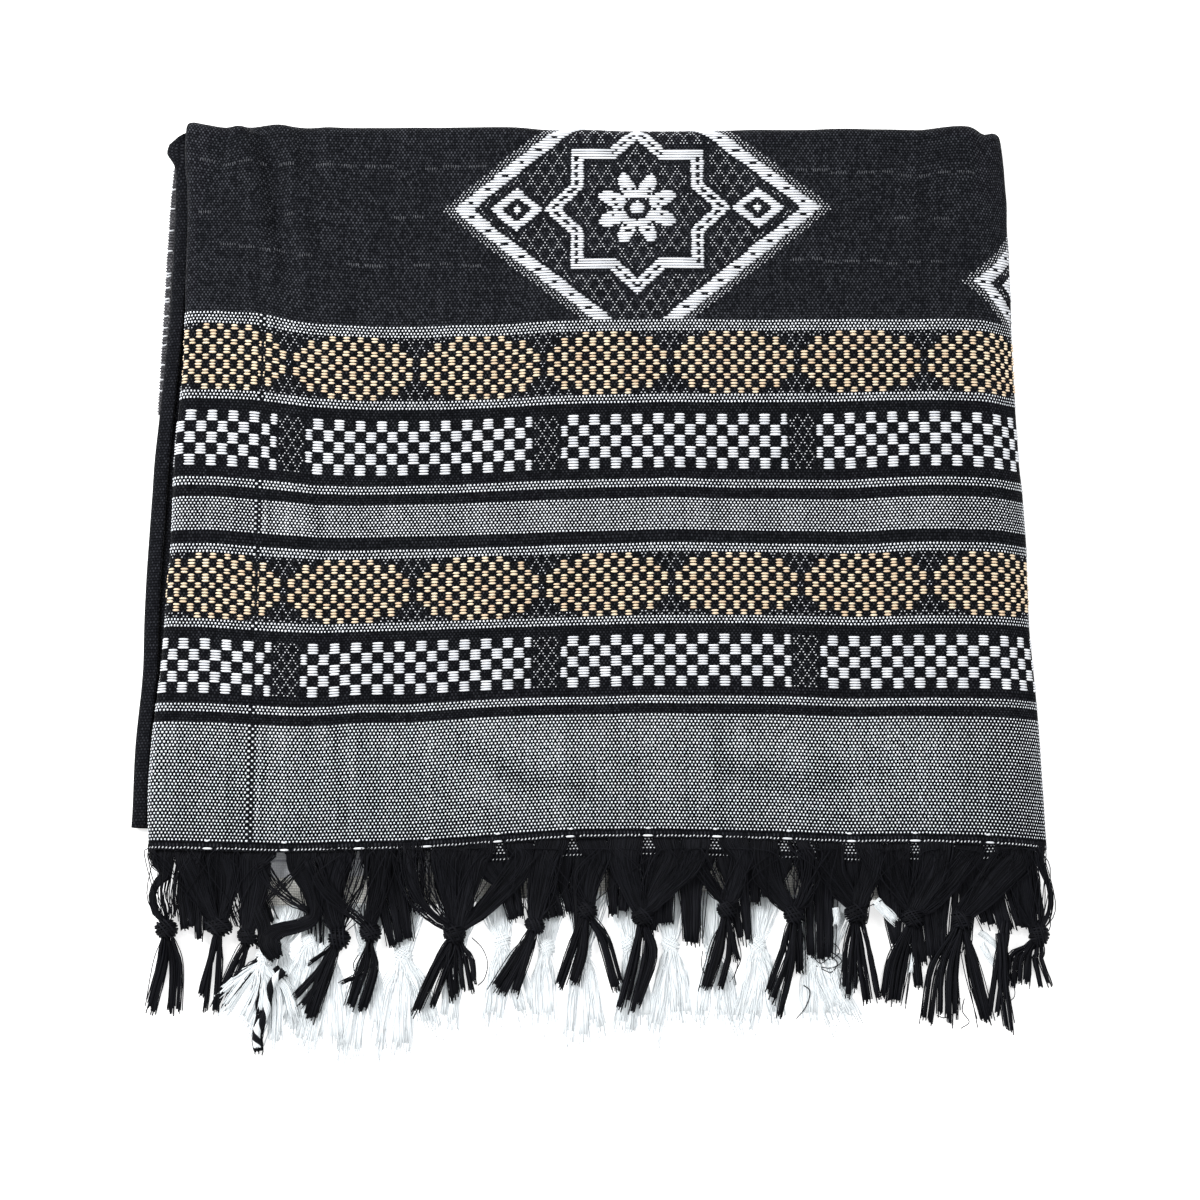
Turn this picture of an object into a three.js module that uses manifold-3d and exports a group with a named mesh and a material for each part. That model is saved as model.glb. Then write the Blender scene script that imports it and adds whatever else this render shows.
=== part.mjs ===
// A folded prayer shawl: one handwoven length of cloth, folded across its width and then along
// its length into a flat bundle, with knotted fringes at its hems. Millimetres, +Z up.
// X runs across the bundle and Y runs from the front hem (0) to the fold at the far end.
import * as THREE from "three";
import { mergeVertices } from "three/addons/utils/BufferGeometryUtils.js";
import Module from "manifold-3d";

// ---- Driving dimensions ------------------------------------------------------------------

const CLOTH = 1.2; // one ply, as a wall
const SEAM = 0.3; // clearance where two pieces meet
const PLAY = 0.5; // clearance between a ply and the plies that it covers
const WAVY_SEAM = 0.7; // clearance where two waved edges meet
const RUN_LENGTH = 360; // from the front hem to the outer edge of the top fold
const STACK_HEIGHT = 14.5; // height of the bundle at its fullest
const BEND_RADIUS = STACK_HEIGHT / 2; // the top fold, measured on its outside
const BEND_START = RUN_LENGTH - BEND_RADIUS;
const HEM_HEIGHT = 0.87; // share of the full height that the bundle has at the hem
const HEM_SLOPE = 120; // length over which the bundle thins towards the hem
const FULL_TURN = Math.PI;
const LIP_TURN = 0.94 * Math.PI; // how far a side fold turns before the ply is hidden

// The upper run shows its whole face, and the lower run shows only its folded left edge.
// A roll is the width of a side fold in plan, and the depth is the height of the fold.
const UPPER = { face: STACK_HEIGHT, up: 1, leftRoll: 6.5, rightRoll: 16, depth: 6.6 };
const LOWER = { face: 0, up: -1, leftRoll: 9, rightRoll: 8, depth: 6.2 };
const LOWER_START = 9; // the lower run ends in a fold, short of the front hem

// Edges of both runs in plan, one row for each section from the hem to the top fold.
const OUTLINE = [
  { y: 0, left: -212.6, right: 209.6, lowLeft: -220.8, lowRight: 204.0 },
  { y: 30, left: -212.4, right: 208.4, lowLeft: -220.1, lowRight: 203.0 },
  { y: 60, left: -211.0, right: 207.1, lowLeft: -218.8, lowRight: 202.0 },
  { y: 90, left: -209.0, right: 205.9, lowLeft: -217.6, lowRight: 200.5 },
  { y: 135, left: -207.2, right: 204.7, lowLeft: -217.4, lowRight: 199.5 },
  { y: 180, left: -205.5, right: 203.4, lowLeft: -215.9, lowRight: 198.0 },
  { y: 220, left: -204.0, right: 202.7, lowLeft: -215.2, lowRight: 197.5 },
  { y: 265, left: -203.6, right: 201.6, lowLeft: -212.2, lowRight: 196.5 },
  { y: 300, left: -204.1, right: 201.3, lowLeft: -211.6, lowRight: 196.0 },
  { y: 322, left: -204.8, right: 201.5, lowLeft: -211.4, lowRight: 196.0 },
  { y: 338, left: -206.6, right: 201.1, lowLeft: -211.9, lowRight: 196.5 },
  { y: 346, left: -206.6, right: 200.6, lowLeft: -215.0, lowRight: 197.5 },
  { y: 352, left: -206.4, right: 200.0, lowLeft: -215.6, lowRight: 198.0 },
  { y: 360, left: -206.2, right: 199.6, lowLeft: -214.0, lowRight: 198.0 },
];

// How far the hem waves towards the top fold, and how far the top fold reaches past its line.
const HEM_WAVE = [
  { x: -212, shift: -2.6 },
  { x: -148, shift: -4.1 },
  { x: -96, shift: -2.6 },
  { x: -48, shift: 0.2 },
  { x: -10, shift: 2.8 },
  { x: 40, shift: 2.9 },
  { x: 88, shift: 1.6 },
  { x: 125, shift: 0.3 },
  { x: 183, shift: -0.3 },
  { x: 210, shift: -2.4 },
];
const TOP_REACH = [
  { x: -206, shift: 2.4 },
  { x: -198, shift: 3.2 },
  { x: -186, shift: 1.2 },
  { x: -174, shift: 2.7 },
  { x: -150, shift: 2.0 },
  { x: -100, shift: 0.9 },
  { x: 0, shift: -0.2 },
  { x: 160, shift: -0.3 },
  { x: 180, shift: 2.4 },
  { x: 192, shift: -2.2 },
  { x: 197, shift: -1.4 },
  { x: 202, shift: -7.0 },
];
const WAVE_FADE = { from: 200, to: 340 };
const REACH_FADE = { from: 300, to: BEND_START };

// Broad swells and hollows of the bundle, as a share of its height.
const SWELLS = [
  { x: -150, y: 310, wide: 60, long: 60, lift: -0.035 },
  { x: 60, y: 240, wide: 90, long: 80, lift: 0.03 },
  { x: -90, y: 60, wide: 80, long: 70, lift: -0.03 },
  { x: 120, y: 90, wide: 60, long: 90, lift: 0.025 },
];

// The second end and the white-warp ply, which show past the front hem.
const SECOND_END = { out: 6.5, inside: 30, left: -203, right: 190 };
const WHITE_END = { left: -163, right: 150 };
const WHITE_END_PROFILE = [
  { out: -8, under: 4.9, over: 6.0 },
  { out: 4, under: 4.0, over: 5.2 },
  { out: 14, under: 1.4, over: 2.6 },
  { out: 20, under: 0, over: 1.2 },
  { out: 26, under: 0, over: 1.2 },
];

// The selvedge that shows beside the lower run: its edge, in sections along the bundle.
const SELVEDGE_THICKNESS = 1.1;
const SELVEDGE_TUCK = 1.2; // how far it reaches under the rounded fold beside it
const SELVEDGE = [
  { y: 222, edge: -215.9 },
  { y: 265, edge: -215.2 },
  { y: 300, edge: -214.4 },
  { y: 322, edge: -213.8 },
  { y: 336, edge: -212.8 },
];

// The fringes, by distance out from the hem line: the knotted net of the front hem and the
// straight-cut warp of the second end beneath it.
const NET_PROFILE = [
  { out: WAVY_SEAM, under: 11.5, over: 12.6 },
  { out: 8, under: 11.6, over: 12.7 },
  { out: 16, under: 8.8, over: 10.2 },
  { out: 24, under: 6.4, over: 7.9 },
];
const SECOND_FRINGE_PROFILE = [
  { out: SECOND_END.out + WAVY_SEAM, under: 10.3, over: 11.2 },
  { out: 16, under: 7.2, over: 8.4 },
  { out: 24, under: 4.9, over: 6.1 },
  { out: 38, under: 3.0, over: 4.2 },
];
const NET_WIDTH = { left: -211, right: 208 };
const SECOND_FRINGE_WIDTH = { left: -202, right: 198 };

// A tassel hangs from the net at its root, is tied at its knot and lies out to its end.
// Those with a rest above zero lie on the white tassels.
const BLACK_TASSELS = [
  { root: -201, knotX: -202.6, knotY: -40, endX: -204, endY: -78, tail: 14, rest: 0 },
  { root: -179, knotX: -179.0, knotY: -38, endX: -188, endY: -76, tail: 8, rest: 0 },
  { root: -163, knotX: -165.0, knotY: -42, endX: -175, endY: -80, tail: 8, rest: 0 },
  { root: -121, knotX: -122.5, knotY: -43, endX: -138, endY: -79, tail: 10, rest: 2.7 },
  { root: -107, knotX: -107.1, knotY: -40, endX: -113, endY: -76, tail: 10, rest: 2.7 },
  { root: -70, knotX: -68.3, knotY: -42, endX: -71, endY: -75, tail: 18, rest: 2.7 },
  { root: -31, knotX: -29.0, knotY: -36, endX: -45, endY: -68, tail: 12, rest: 2.7 },
  { root: -3, knotX: -2.8, knotY: -33, endX: -8, endY: -65, tail: 16, rest: 2.7 },
  { root: 21, knotX: 20.6, knotY: -34, endX: 12, endY: -76, tail: 9, rest: 2.7 },
  { root: 59, knotX: 59.5, knotY: -33, endX: 52, endY: -67, tail: 10, rest: 2.7 },
  { root: 90, knotX: 90.9, knotY: -35, endX: 81, endY: -75, tail: 11, rest: 2.7 },
  { root: 120, knotX: 120.4, knotY: -33, endX: 121, endY: -71, tail: 13, rest: 2.7 },
  { root: 149, knotX: 149.9, knotY: -34, endX: 143, endY: -78, tail: 14, rest: 0 },
  { root: 174, knotX: 174.3, knotY: -35, endX: 178, endY: -82, tail: 16, rest: 0 },
  { root: 203, knotX: 204.0, knotY: -42, endX: 203, endY: -66, tail: 10, rest: 0 },
];
const MIXED_TASSEL = {
  root: -145, knotX: -155, knotY: -54, endX: -158, endY: -96, tail: 12, rest: 2.7,
};
const WHITE_TASSELS = [
  { root: -143, endX: -152, endY: -89 },
  { root: -127, endX: -133, endY: -94 },
  { root: -107, endX: -111, endY: -97 },
  { root: -92, endX: -95, endY: -94 },
  { root: -61, endX: -71, endY: -83 },
  { root: -40, endX: -45, endY: -76 },
  { root: -19, endX: -27, endY: -80 },
  { root: -2, endX: -9, endY: -93 },
  { root: 17, endX: 13, endY: -86 },
  { root: 34, endX: 31, endY: -86 },
  { root: 52, endX: 50, endY: -82 },
  { root: 74, endX: 70, endY: -82 },
  { root: 97, endX: 93, endY: -83 },
  { root: 108, endX: 113, endY: -81 },
];

// Sections of a tassel. Stage 0 is the root, 1 the knot and 2 the cut end.
const TASSEL_STAGES = [
  { stage: 0, wide: 7, thick: 1.4, height: 7.1 },
  { stage: 0.55, wide: 6, thick: 3.0, height: 7.3 },
  { stage: 0.9, wide: 8, thick: 4.4, height: 7.5 },
  { stage: 1.05, wide: 8, thick: 4.4, height: 7.5 },
  { stage: 1.2, wide: 5, thick: 3.2, height: 7.1 },
];
const TAIL_STAGES = [
  { stage: 1.55, share: 0.75, thick: 3.2 },
  { stage: 2, share: 1, thick: 2.2 },
];
const WHITE_STAGES = [
  { part: 0, wide: 6, thick: 1.2 },
  { part: 0.2, wide: 5, thick: 2.4 },
  { part: 0.35, wide: 5, thick: 2.4 },
  { part: 0.7, wide: 8, thick: 2.2 },
  { part: 1, wide: 10, thick: 1.6 },
];
const YARN_SIDES = 6;

// Steps of the faceted surfaces.
const FLAT_SPANS = 10;
const HIDDEN_SPANS = 4;
const LEFT_STEPS = 5;
const RIGHT_STEPS = 6;
const BEND_STEPS = 8;
const NOSE_STEPS = 2;

const BLACK_CLOTH = new THREE.MeshStandardMaterial({ color: 0x1c1e23, roughness: 0.92 });
const BORDER_CLOTH = new THREE.MeshStandardMaterial({ color: 0x30323a, roughness: 0.92 });
const GREY_CLOTH = new THREE.MeshStandardMaterial({ color: 0x85868c, roughness: 0.92 });
const PALE_CLOTH = new THREE.MeshStandardMaterial({ color: 0xd4d0c4, roughness: 0.92 });
const BLACK_YARN = new THREE.MeshStandardMaterial({ color: 0x121317, roughness: 0.85 });
const WHITE_YARN = new THREE.MeshStandardMaterial({ color: 0xeef0f2, roughness: 0.85 });

// ---- The lie of the cloth ----------------------------------------------------------------

const { clamp, lerp, smoothstep } = THREE.MathUtils;

/** Reads one column of a table at a place between its rows. */
function readTable(rows, by, at, column) {
  const place = clamp(at, rows[0][by], rows[rows.length - 1][by]);
  const next = Math.max(1, rows.findIndex((row) => row[by] >= place));
  const [a, b] = [rows[next - 1], rows[next]];
  return lerp(a[column], b[column], (place - a[by]) / (b[by] - a[by]));
}

/** Share of the full stack height that the bundle has at a place. */
function heightShare(x, y) {
  let share = lerp(HEM_HEIGHT, 1, smoothstep(y, 0, HEM_SLOPE));
  for (const swell of SWELLS) {
    const across = (x - swell.x) / swell.wide;
    const along = (y - swell.y) / swell.long;
    share += swell.lift * Math.exp(-across * across - along * along);
  }
  return share;
}

/** Carries a point of the straight bundle to its place in the waved and swollen one. */
function lay(x, y, z) {
  const wave = readTable(HEM_WAVE, "x", x, "shift");
  const reach = readTable(TOP_REACH, "x", x, "shift");
  const waved = wave * (1 - smoothstep(y, WAVE_FADE.from, WAVE_FADE.to));
  const reached = reach * smoothstep(y, REACH_FADE.from, REACH_FADE.to);
  return new THREE.Vector3(x, y + waved + reached, z * heightShare(x, y));
}

/** Edges of a run at a place along it. */
function edgesAt(run, y) {
  const names = run === UPPER ? ["left", "right"] : ["lowLeft", "lowRight"];
  const [left, right] = names.map((name) => readTable(OUTLINE, "y", y, name));
  return { left, right };
}

// ---- Mesh building -----------------------------------------------------------------------

/** A closed body from its points and triangles, with its faces turned outwards. */
function bodyFrom(points, triangles) {
  let volume = 0;
  for (const [a, b, c] of triangles) {
    volume += points[a].dot(new THREE.Vector3().crossVectors(points[b], points[c]));
  }
  const outward = volume > 0 ? triangles : triangles.map(([a, b, c]) => [a, c, b]);
  const geometry = new THREE.BufferGeometry().setFromPoints(points);
  geometry.setIndex(outward.flat());
  geometry.computeVertexNormals();
  return geometry;
}

/** Two triangles for each cell of a strip between two rows of point numbers. */
function strip(near, far) {
  const cells = [];
  for (let i = 0; i + 1 < near.length; i++) {
    cells.push([near[i], near[i + 1], far[i + 1]], [near[i], far[i + 1], far[i]]);
  }
  return cells;
}

/** A wall between an outer and an inner grid of points, closed along its four rims. */
function wall(outer, inner) {
  const rows = outer.length;
  const columns = outer[0].length;
  const number = (layer, row, column) => (layer * rows + row) * columns + column;
  const rowOf = (layer, row) => outer[0].map((_, column) => number(layer, row, column));
  const columnOf = (layer, column) => outer.map((_, row) => number(layer, row, column));
  const triangles = [];
  for (let row = 0; row + 1 < rows; row++) {
    triangles.push(...strip(rowOf(0, row), rowOf(0, row + 1)));
    triangles.push(...strip(rowOf(1, row + 1), rowOf(1, row)));
  }
  triangles.push(...strip(rowOf(1, 0), rowOf(0, 0)));
  triangles.push(...strip(rowOf(0, rows - 1), rowOf(1, rows - 1)));
  triangles.push(...strip(columnOf(0, 0), columnOf(1, 0)));
  triangles.push(...strip(columnOf(1, columns - 1), columnOf(0, columns - 1)));
  return bodyFrom([...outer.flat(), ...inner.flat()], triangles);
}

/** A closed body lofted through rings of equal length, with a flat cap on each end. */
function loft(rings) {
  const size = rings[0].length;
  const points = rings.flat();
  const triangles = [];
  for (let ring = 0; ring + 1 < rings.length; ring++) {
    const near = rings[ring].map((_, i) => ring * size + i);
    const far = near.map((i) => i + size);
    triangles.push(...strip([...near, near[0]], [...far, far[0]]));
  }
  for (const [first, turned] of [[0, true], [(rings.length - 1) * size, false]]) {
    const centre = new THREE.Vector3();
    points.slice(first, first + size).forEach((point) => centre.addScaledVector(point, 1 / size));
    points.push(centre);
    for (let i = 0; i < size; i++) {
      const [a, b] = [first + i, first + ((i + 1) % size)];
      triangles.push(turned ? [points.length - 1, b, a] : [points.length - 1, a, b]);
    }
  }
  return bodyFrom(points, triangles);
}

/** Evenly spaced places from one end to the other, both ends among them. */
function placesBetween(from, to, spans) {
  return Array.from({ length: spans + 1 }, (_, i) => lerp(from, to, i / spans));
}

/** The outline's sections between two places along the bundle, with those two places. */
function sectionsBetween(from, to) {
  const nearest = 1; // sections closer than this to an end are left out
  const inside = OUTLINE.filter(({ y }) => y > from + nearest && y < to - nearest);
  return [from, ...inside.map(({ y }) => y), to];
}

// ---- Runs of cloth -----------------------------------------------------------------------

/** Columns of a run's wall: the left side fold, the flat face and the right side fold. */
function runColumns() {
  const left = placesBetween(LIP_TURN, 0, LEFT_STEPS);
  const right = placesBetween(0, LIP_TURN, RIGHT_STEPS);
  const flat = placesBetween(0, 1, FLAT_SPANS).slice(1, -1);
  return [
    ...left.map((turn) => ({ side: "left", turn })),
    ...flat.map((share) => ({ side: "flat", share })),
    ...right.map((turn) => ({ side: "right", turn })),
  ];
}

/** Place across a run and depth below its face, for one column at an inset from its skin. */
function sectionPoint(run, y, column, inset) {
  const { left, right } = edgesAt(run, y);
  const middle = run.depth / 2;
  if (column.side === "flat") {
    return { x: lerp(left + run.leftRoll, right - run.rightRoll, column.share), depth: inset };
  }
  const depth = middle - (middle - inset) * Math.cos(column.turn);
  if (column.side === "left") {
    return { x: left + run.leftRoll - (run.leftRoll - inset) * Math.sin(column.turn), depth };
  }
  return { x: right - run.rightRoll + (run.rightRoll - inset) * Math.sin(column.turn), depth };
}

/** One row of a run's wall on the straight. */
function straightRow(run, y, inset) {
  return runColumns().map((column) => {
    const { x, depth } = sectionPoint(run, y, column, inset);
    return lay(x, y, run.face - run.up * depth);
  });
}

/** One row of the upper run's wall round the top fold. */
function bendRow(turn, inset) {
  return runColumns().map((column) => {
    const { x, depth } = sectionPoint(UPPER, RUN_LENGTH, column, inset);
    const radius = BEND_RADIUS - depth;
    const y = BEND_START + radius * Math.sin(turn);
    return lay(x, y, BEND_RADIUS + radius * Math.cos(turn));
  });
}

/** The front panel: the upper run with its side folds, and the outer ply of the top fold. */
function frontPanel() {
  const ys = sectionsBetween(0, BEND_START).slice(0, -1);
  const turns = placesBetween(0, FULL_TURN, BEND_STEPS);
  const face = (inset) => [
    ...ys.map((y) => straightRow(UPPER, y, inset)),
    ...turns.map((turn) => bendRow(turn, inset)),
  ];
  return wall(face(0), face(CLOTH));
}

/** The back panel: the lower run, flat on the surface, with its side folds turned up. */
function backPanel() {
  const ys = sectionsBetween(LOWER_START, BEND_START - 2 * WAVY_SEAM);
  const face = (inset) => ys.map((y) => straightRow(LOWER, y, inset));
  return wall(face(0), face(CLOTH));
}

/** A flat strip of cloth whose height and distance out from the hem follow a profile. */
function hemStrip(left, right, profile) {
  const xs = placesBetween(left, right, FLAT_SPANS);
  const row = (out, z) => xs.map((x) => {
    const wave = readTable(HEM_WAVE, "x", x, "shift");
    return new THREE.Vector3(x, wave - out, z);
  });
  const over = profile.map(({ out, over: z }) => row(out, z));
  const under = profile.map(({ out, under: z }) => row(out, z));
  return wall(over, under);
}

/** The second end: a ply under the front panel whose hem shows past the front hem. */
function secondEnd() {
  const top = STACK_HEIGHT - CLOTH - SEAM;
  const { out, inside, left, right } = SECOND_END;
  const xs = placesBetween(left, right, FLAT_SPANS);
  const ys = placesBetween(-out, inside, 2);
  const grid = (z) => ys.map((y) => xs.map((x) => lay(x, y, z)));
  return wall(grid(top), grid(top - CLOTH));
}

/** The ply whose selvedge shows beside the lower run, flat on the surface. */
function selvedgePly() {
  const grid = (z) => SELVEDGE.map(({ y, edge }) => {
    const tucked = edgesAt(LOWER, y).left + SELVEDGE_TUCK;
    return [edge, tucked].map((x) => lay(x, y, z));
  });
  return wall(grid(SELVEDGE_THICKNESS), grid(0));
}

// ---- The hidden layers -------------------------------------------------------------------

/** A ring round one hidden ply: flat above and below, with rounded sides. */
function plyRing(ply, y, shrink) {
  const { left, right } = ply.span(y);
  const middle = (ply.low + ply.high) / 2;
  const half = ((ply.high - ply.low) / 2) * shrink;
  const flats = placesBetween(0, 1, HIDDEN_SPANS);
  const over = flats.map((share) => ({
    x: lerp(left + ply.leftRoll, right - ply.rightRoll, share), z: middle + half,
  }));
  const under = flats.map((_, i) => ({ x: over[HIDDEN_SPANS - i].x, z: middle - half }));
  const rightNose = { x: right, z: middle };
  const leftNose = { x: left, z: middle };
  return [...over, rightNose, ...under, leftNose].map(({ x, z }) => lay(x, y, z));
}

/** A hidden ply lofted along the bundle, rounded where it ends in a fold. */
function plyBody(ply) {
  const turns = placesBetween(0, Math.PI / 2, NOSE_STEPS);
  const nose = (length, turn) => ({ in: length * (1 - Math.sin(turn)), shrink: Math.cos(turn) });
  const stops = [];
  for (const turn of turns.slice(0, -1).reverse()) {
    const { in: inset, shrink } = nose(ply.startNose, turn);
    stops.push({ y: ply.start + inset, shrink });
  }
  const straight = sectionsBetween(ply.start + ply.startNose, ply.end - ply.endNose);
  for (const y of straight.slice(1, -1)) {
    stops.push({ y, shrink: 1 });
  }
  for (const turn of turns.slice(0, -1)) {
    const { in: inset, shrink } = nose(ply.endNose, turn);
    stops.push({ y: ply.end - inset, shrink });
  }
  return loft(stops.map(({ y, shrink }) => plyRing(ply, y, shrink)));
}

/** Space inside a run's side folds. */
function insideRun(run, inset) {
  return (y) => {
    const { left, right } = edgesAt(run, y);
    return { left: left + inset, right: right - inset };
  };
}

/** Space between the inner lips of both runs' side folds. */
function betweenLips(y) {
  const lip = 3;
  const upper = edgesAt(UPPER, y);
  const lower = edgesAt(LOWER, y);
  return {
    left: Math.max(upper.left + UPPER.leftRoll, lower.left + LOWER.leftRoll) + lip,
    right: Math.min(upper.right - UPPER.rightRoll, lower.right - LOWER.rightRoll) - lip,
  };
}

/** The folded edges that show at both sides, between the two runs. */
function betweenRuns(y) {
  const tuck = 3;
  return { left: edgesAt(UPPER, y).left + tuck, right: edgesAt(LOWER, y).right - tuck };
}

const INNER_TOP = STACK_HEIGHT - CLOTH - PLAY;
const UNDER_SECOND_END = STACK_HEIGHT - 2 * CLOTH - SEAM - PLAY;
const UPPER_LOW = STACK_HEIGHT - UPPER.depth + CLOTH + PLAY;
const LOWER_HIGH = LOWER.depth - CLOTH - PLAY;
const INNER_LOW = CLOTH + PLAY;
const BETWEEN_LOW = LOWER.depth + SEAM;
const BETWEEN_HIGH = STACK_HEIGHT - UPPER.depth - SEAM;
const TUCK = SECOND_END.inside + 4; // where the plies below the second end rise to full height
const LAP = 8; // length that neighbouring plies share
const BEND_INSIDE = BEND_RADIUS - CLOTH - PLAY;
const BEND_SLACK = 2.5; // room left inside the top fold, where the cloth doesn't fill it
const SNUG = CLOTH + 2 * PLAY; // inset of a ply that fills its run
const LOOSE = 6; // inset of a ply that stops short of the side folds

// One row for each hidden ply: where it lies along the bundle, its heights and its sides.
const HIDDEN_PLIES = [
  { span: insideRun(UPPER, SNUG), start: TUCK, end: BEND_START - 3, low: UPPER_LOW,
    high: INNER_TOP, leftRoll: 4, rightRoll: 12, startNose: 2, endNose: 2 },
  { span: insideRun(UPPER, LOOSE), start: 2, end: TUCK + LAP, low: UPPER_LOW, high: UNDER_SECOND_END,
    leftRoll: 4, rightRoll: 12, startNose: 2, endNose: 2 },
  { span: betweenLips, start: TUCK, end: BEND_START + BEND_INSIDE - BEND_SLACK,
    low: INNER_LOW, high: INNER_TOP, leftRoll: 1, rightRoll: 1, startNose: 2, endNose: BEND_INSIDE },
  { span: betweenLips, start: 3, end: TUCK + LAP, low: 7.3, high: UNDER_SECOND_END,
    leftRoll: 1, rightRoll: 1, startNose: 2, endNose: 2 },
  { span: betweenLips, start: LOWER_START + 2, end: TUCK + LAP, low: INNER_LOW, high: 7.6,
    leftRoll: 1, rightRoll: 1, startNose: 3, endNose: 2 },
  { span: insideRun(LOWER, SNUG), start: LOWER_START + 1, end: BEND_START - 1, low: INNER_LOW,
    high: LOWER_HIGH, leftRoll: 5, rightRoll: 6, startNose: 1.5, endNose: 1 },
  { span: betweenRuns, start: LOWER_START + 4, end: BEND_START - 3, low: BETWEEN_LOW,
    high: BETWEEN_HIGH, leftRoll: 1, rightRoll: 1, startNose: 1, endNose: 1 },
];

/** The hidden layers as one rounded solid, layered at its edges. */
async function foldedLayers() {
  const wasm = await Module();
  wasm.setup();
  const solids = HIDDEN_PLIES.map((ply) => {
    const body = plyBody(ply);
    body.deleteAttribute("normal");
    const merged = mergeVertices(body);
    return new wasm.Manifold(new wasm.Mesh({
      numProp: 3,
      vertProperties: new Float32Array(merged.attributes.position.array),
      triVerts: new Uint32Array(merged.index.array),
    }));
  });
  const joined = solids.reduce((whole, solid) => whole.add(solid)).getMesh();
  const geometry = new THREE.BufferGeometry();
  geometry.setAttribute("position", new THREE.BufferAttribute(joined.vertProperties, 3));
  geometry.setIndex(new THREE.BufferAttribute(joined.triVerts, 1));
  geometry.computeVertexNormals();
  return geometry;
}

// ---- Fringes -----------------------------------------------------------------------------

/** A flat-bottomed ring of yarn round a centre, square to a heading in plan. */
function yarnRing(centre, heading, wide, thick) {
  const across = new THREE.Vector2(heading.y, -heading.x).normalize();
  const step = (2 * Math.PI) / YARN_SIDES;
  return Array.from({ length: YARN_SIDES }, (_, i) => {
    const sideways = (wide / 2) * Math.cos(i * step);
    const upwards = ((thick / 2) * Math.sin(i * step)) / Math.sin(step);
    return new THREE.Vector3(
      centre.x + across.x * sideways,
      centre.y + across.y * sideways,
      centre.z + upwards,
    );
  });
}

/** A knotted tassel of the net, as a plain solid of its reach. */
function knottedTassel(tassel) {
  const netEnd = NET_PROFILE[NET_PROFILE.length - 1].out + WAVY_SEAM;
  const rootY = readTable(HEM_WAVE, "x", tassel.root, "shift") - netEnd;
  const stops = [
    new THREE.Vector3(tassel.root, rootY, 0),
    new THREE.Vector3(tassel.knotX, tassel.knotY, 0),
    new THREE.Vector3(tassel.endX, tassel.endY, 0),
  ];
  const headings = [
    new THREE.Vector3(0, -1, 0),
    new THREE.Vector3().subVectors(stops[2], stops[0]),
    new THREE.Vector3().subVectors(stops[2], stops[1]),
  ];
  const tail = TAIL_STAGES.map(({ stage, share, thick }) => ({
    stage, wide: tassel.tail * share, thick, height: tassel.rest + thick / 2,
  }));
  const rings = [...TASSEL_STAGES, ...tail].map(({ stage, wide, thick, height }) => {
    const from = Math.min(1, Math.floor(stage));
    const centre = stops[from].clone().lerp(stops[from + 1], stage - from);
    const heading = headings[from].clone().lerp(headings[from + 1], stage - from);
    centre.z = height;
    return yarnRing(centre, heading, wide, thick);
  });
  return loft(rings);
}

/** A tassel of the white-warp ply, flat on the surface. */
function whiteTassel({ root, endX, endY }) {
  const hemOut = WHITE_END_PROFILE[WHITE_END_PROFILE.length - 1].out + WAVY_SEAM;
  const start = new THREE.Vector3(root, readTable(HEM_WAVE, "x", root, "shift") - hemOut, 0);
  const end = new THREE.Vector3(endX, endY, 0);
  const down = new THREE.Vector3(0, -1, 0);
  const slant = new THREE.Vector3().subVectors(end, start).normalize();
  return loft(WHITE_STAGES.map(({ part, wide, thick }) => {
    const centre = start.clone().lerp(end, part);
    centre.z = thick / 2;
    return yarnRing(centre, down.clone().lerp(slant, Math.min(1, part * 4)), wide, thick);
  }));
}

// ---- The whole bundle --------------------------------------------------------------------

const shawl = new THREE.Group();

/** Adds one named sub-part to the bundle. */
function add(name, geometry, material) {
  const mesh = new THREE.Mesh(geometry, material);
  mesh.name = name;
  shawl.add(mesh);
}

const numbered = (stem, index) => `${stem}_${String(index + 1).padStart(2, "0")}`;

add("front_panel", frontPanel(), BORDER_CLOTH);
add("back_panel", backPanel(), BLACK_CLOTH);
add("folded_layers", await foldedLayers(), BLACK_CLOTH);
add("second_end", secondEnd(), GREY_CLOTH);
add("selvedge_ply", selvedgePly(), GREY_CLOTH);
add("white_end", hemStrip(WHITE_END.left, WHITE_END.right, WHITE_END_PROFILE), PALE_CLOTH);
add("fringe_net", hemStrip(NET_WIDTH.left, NET_WIDTH.right, NET_PROFILE), BLACK_YARN);
add(
  "second_fringe",
  hemStrip(SECOND_FRINGE_WIDTH.left, SECOND_FRINGE_WIDTH.right, SECOND_FRINGE_PROFILE),
  BLACK_YARN,
);
BLACK_TASSELS.forEach((tassel, i) => {
  add(numbered("tassel", i), knottedTassel(tassel), BLACK_YARN);
});
add("mixed_tassel", knottedTassel(MIXED_TASSEL), WHITE_YARN);
WHITE_TASSELS.forEach((tassel, i) => {
  add(numbered("white_tassel", i), whiteTassel(tassel), WHITE_YARN);
});

// The origin is under the middle of the bundle and its fringes.
const whole = new THREE.Box3().setFromObject(shawl);
const middle = whole.getCenter(new THREE.Vector3());
shawl.position.set(-middle.x, -middle.y, -whole.min.z);

export default shawl;
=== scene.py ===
"""The looks of a folded prayer shawl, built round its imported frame.

Tables are in millimetres from the middle of the front hem line, as in the part's own source:
x across the bundle, y from the hem to the top fold and z up from the surface. A place on the
cloth itself is given by s, across along the weft, and d, along the warp from the hem.
"""

import math

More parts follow.
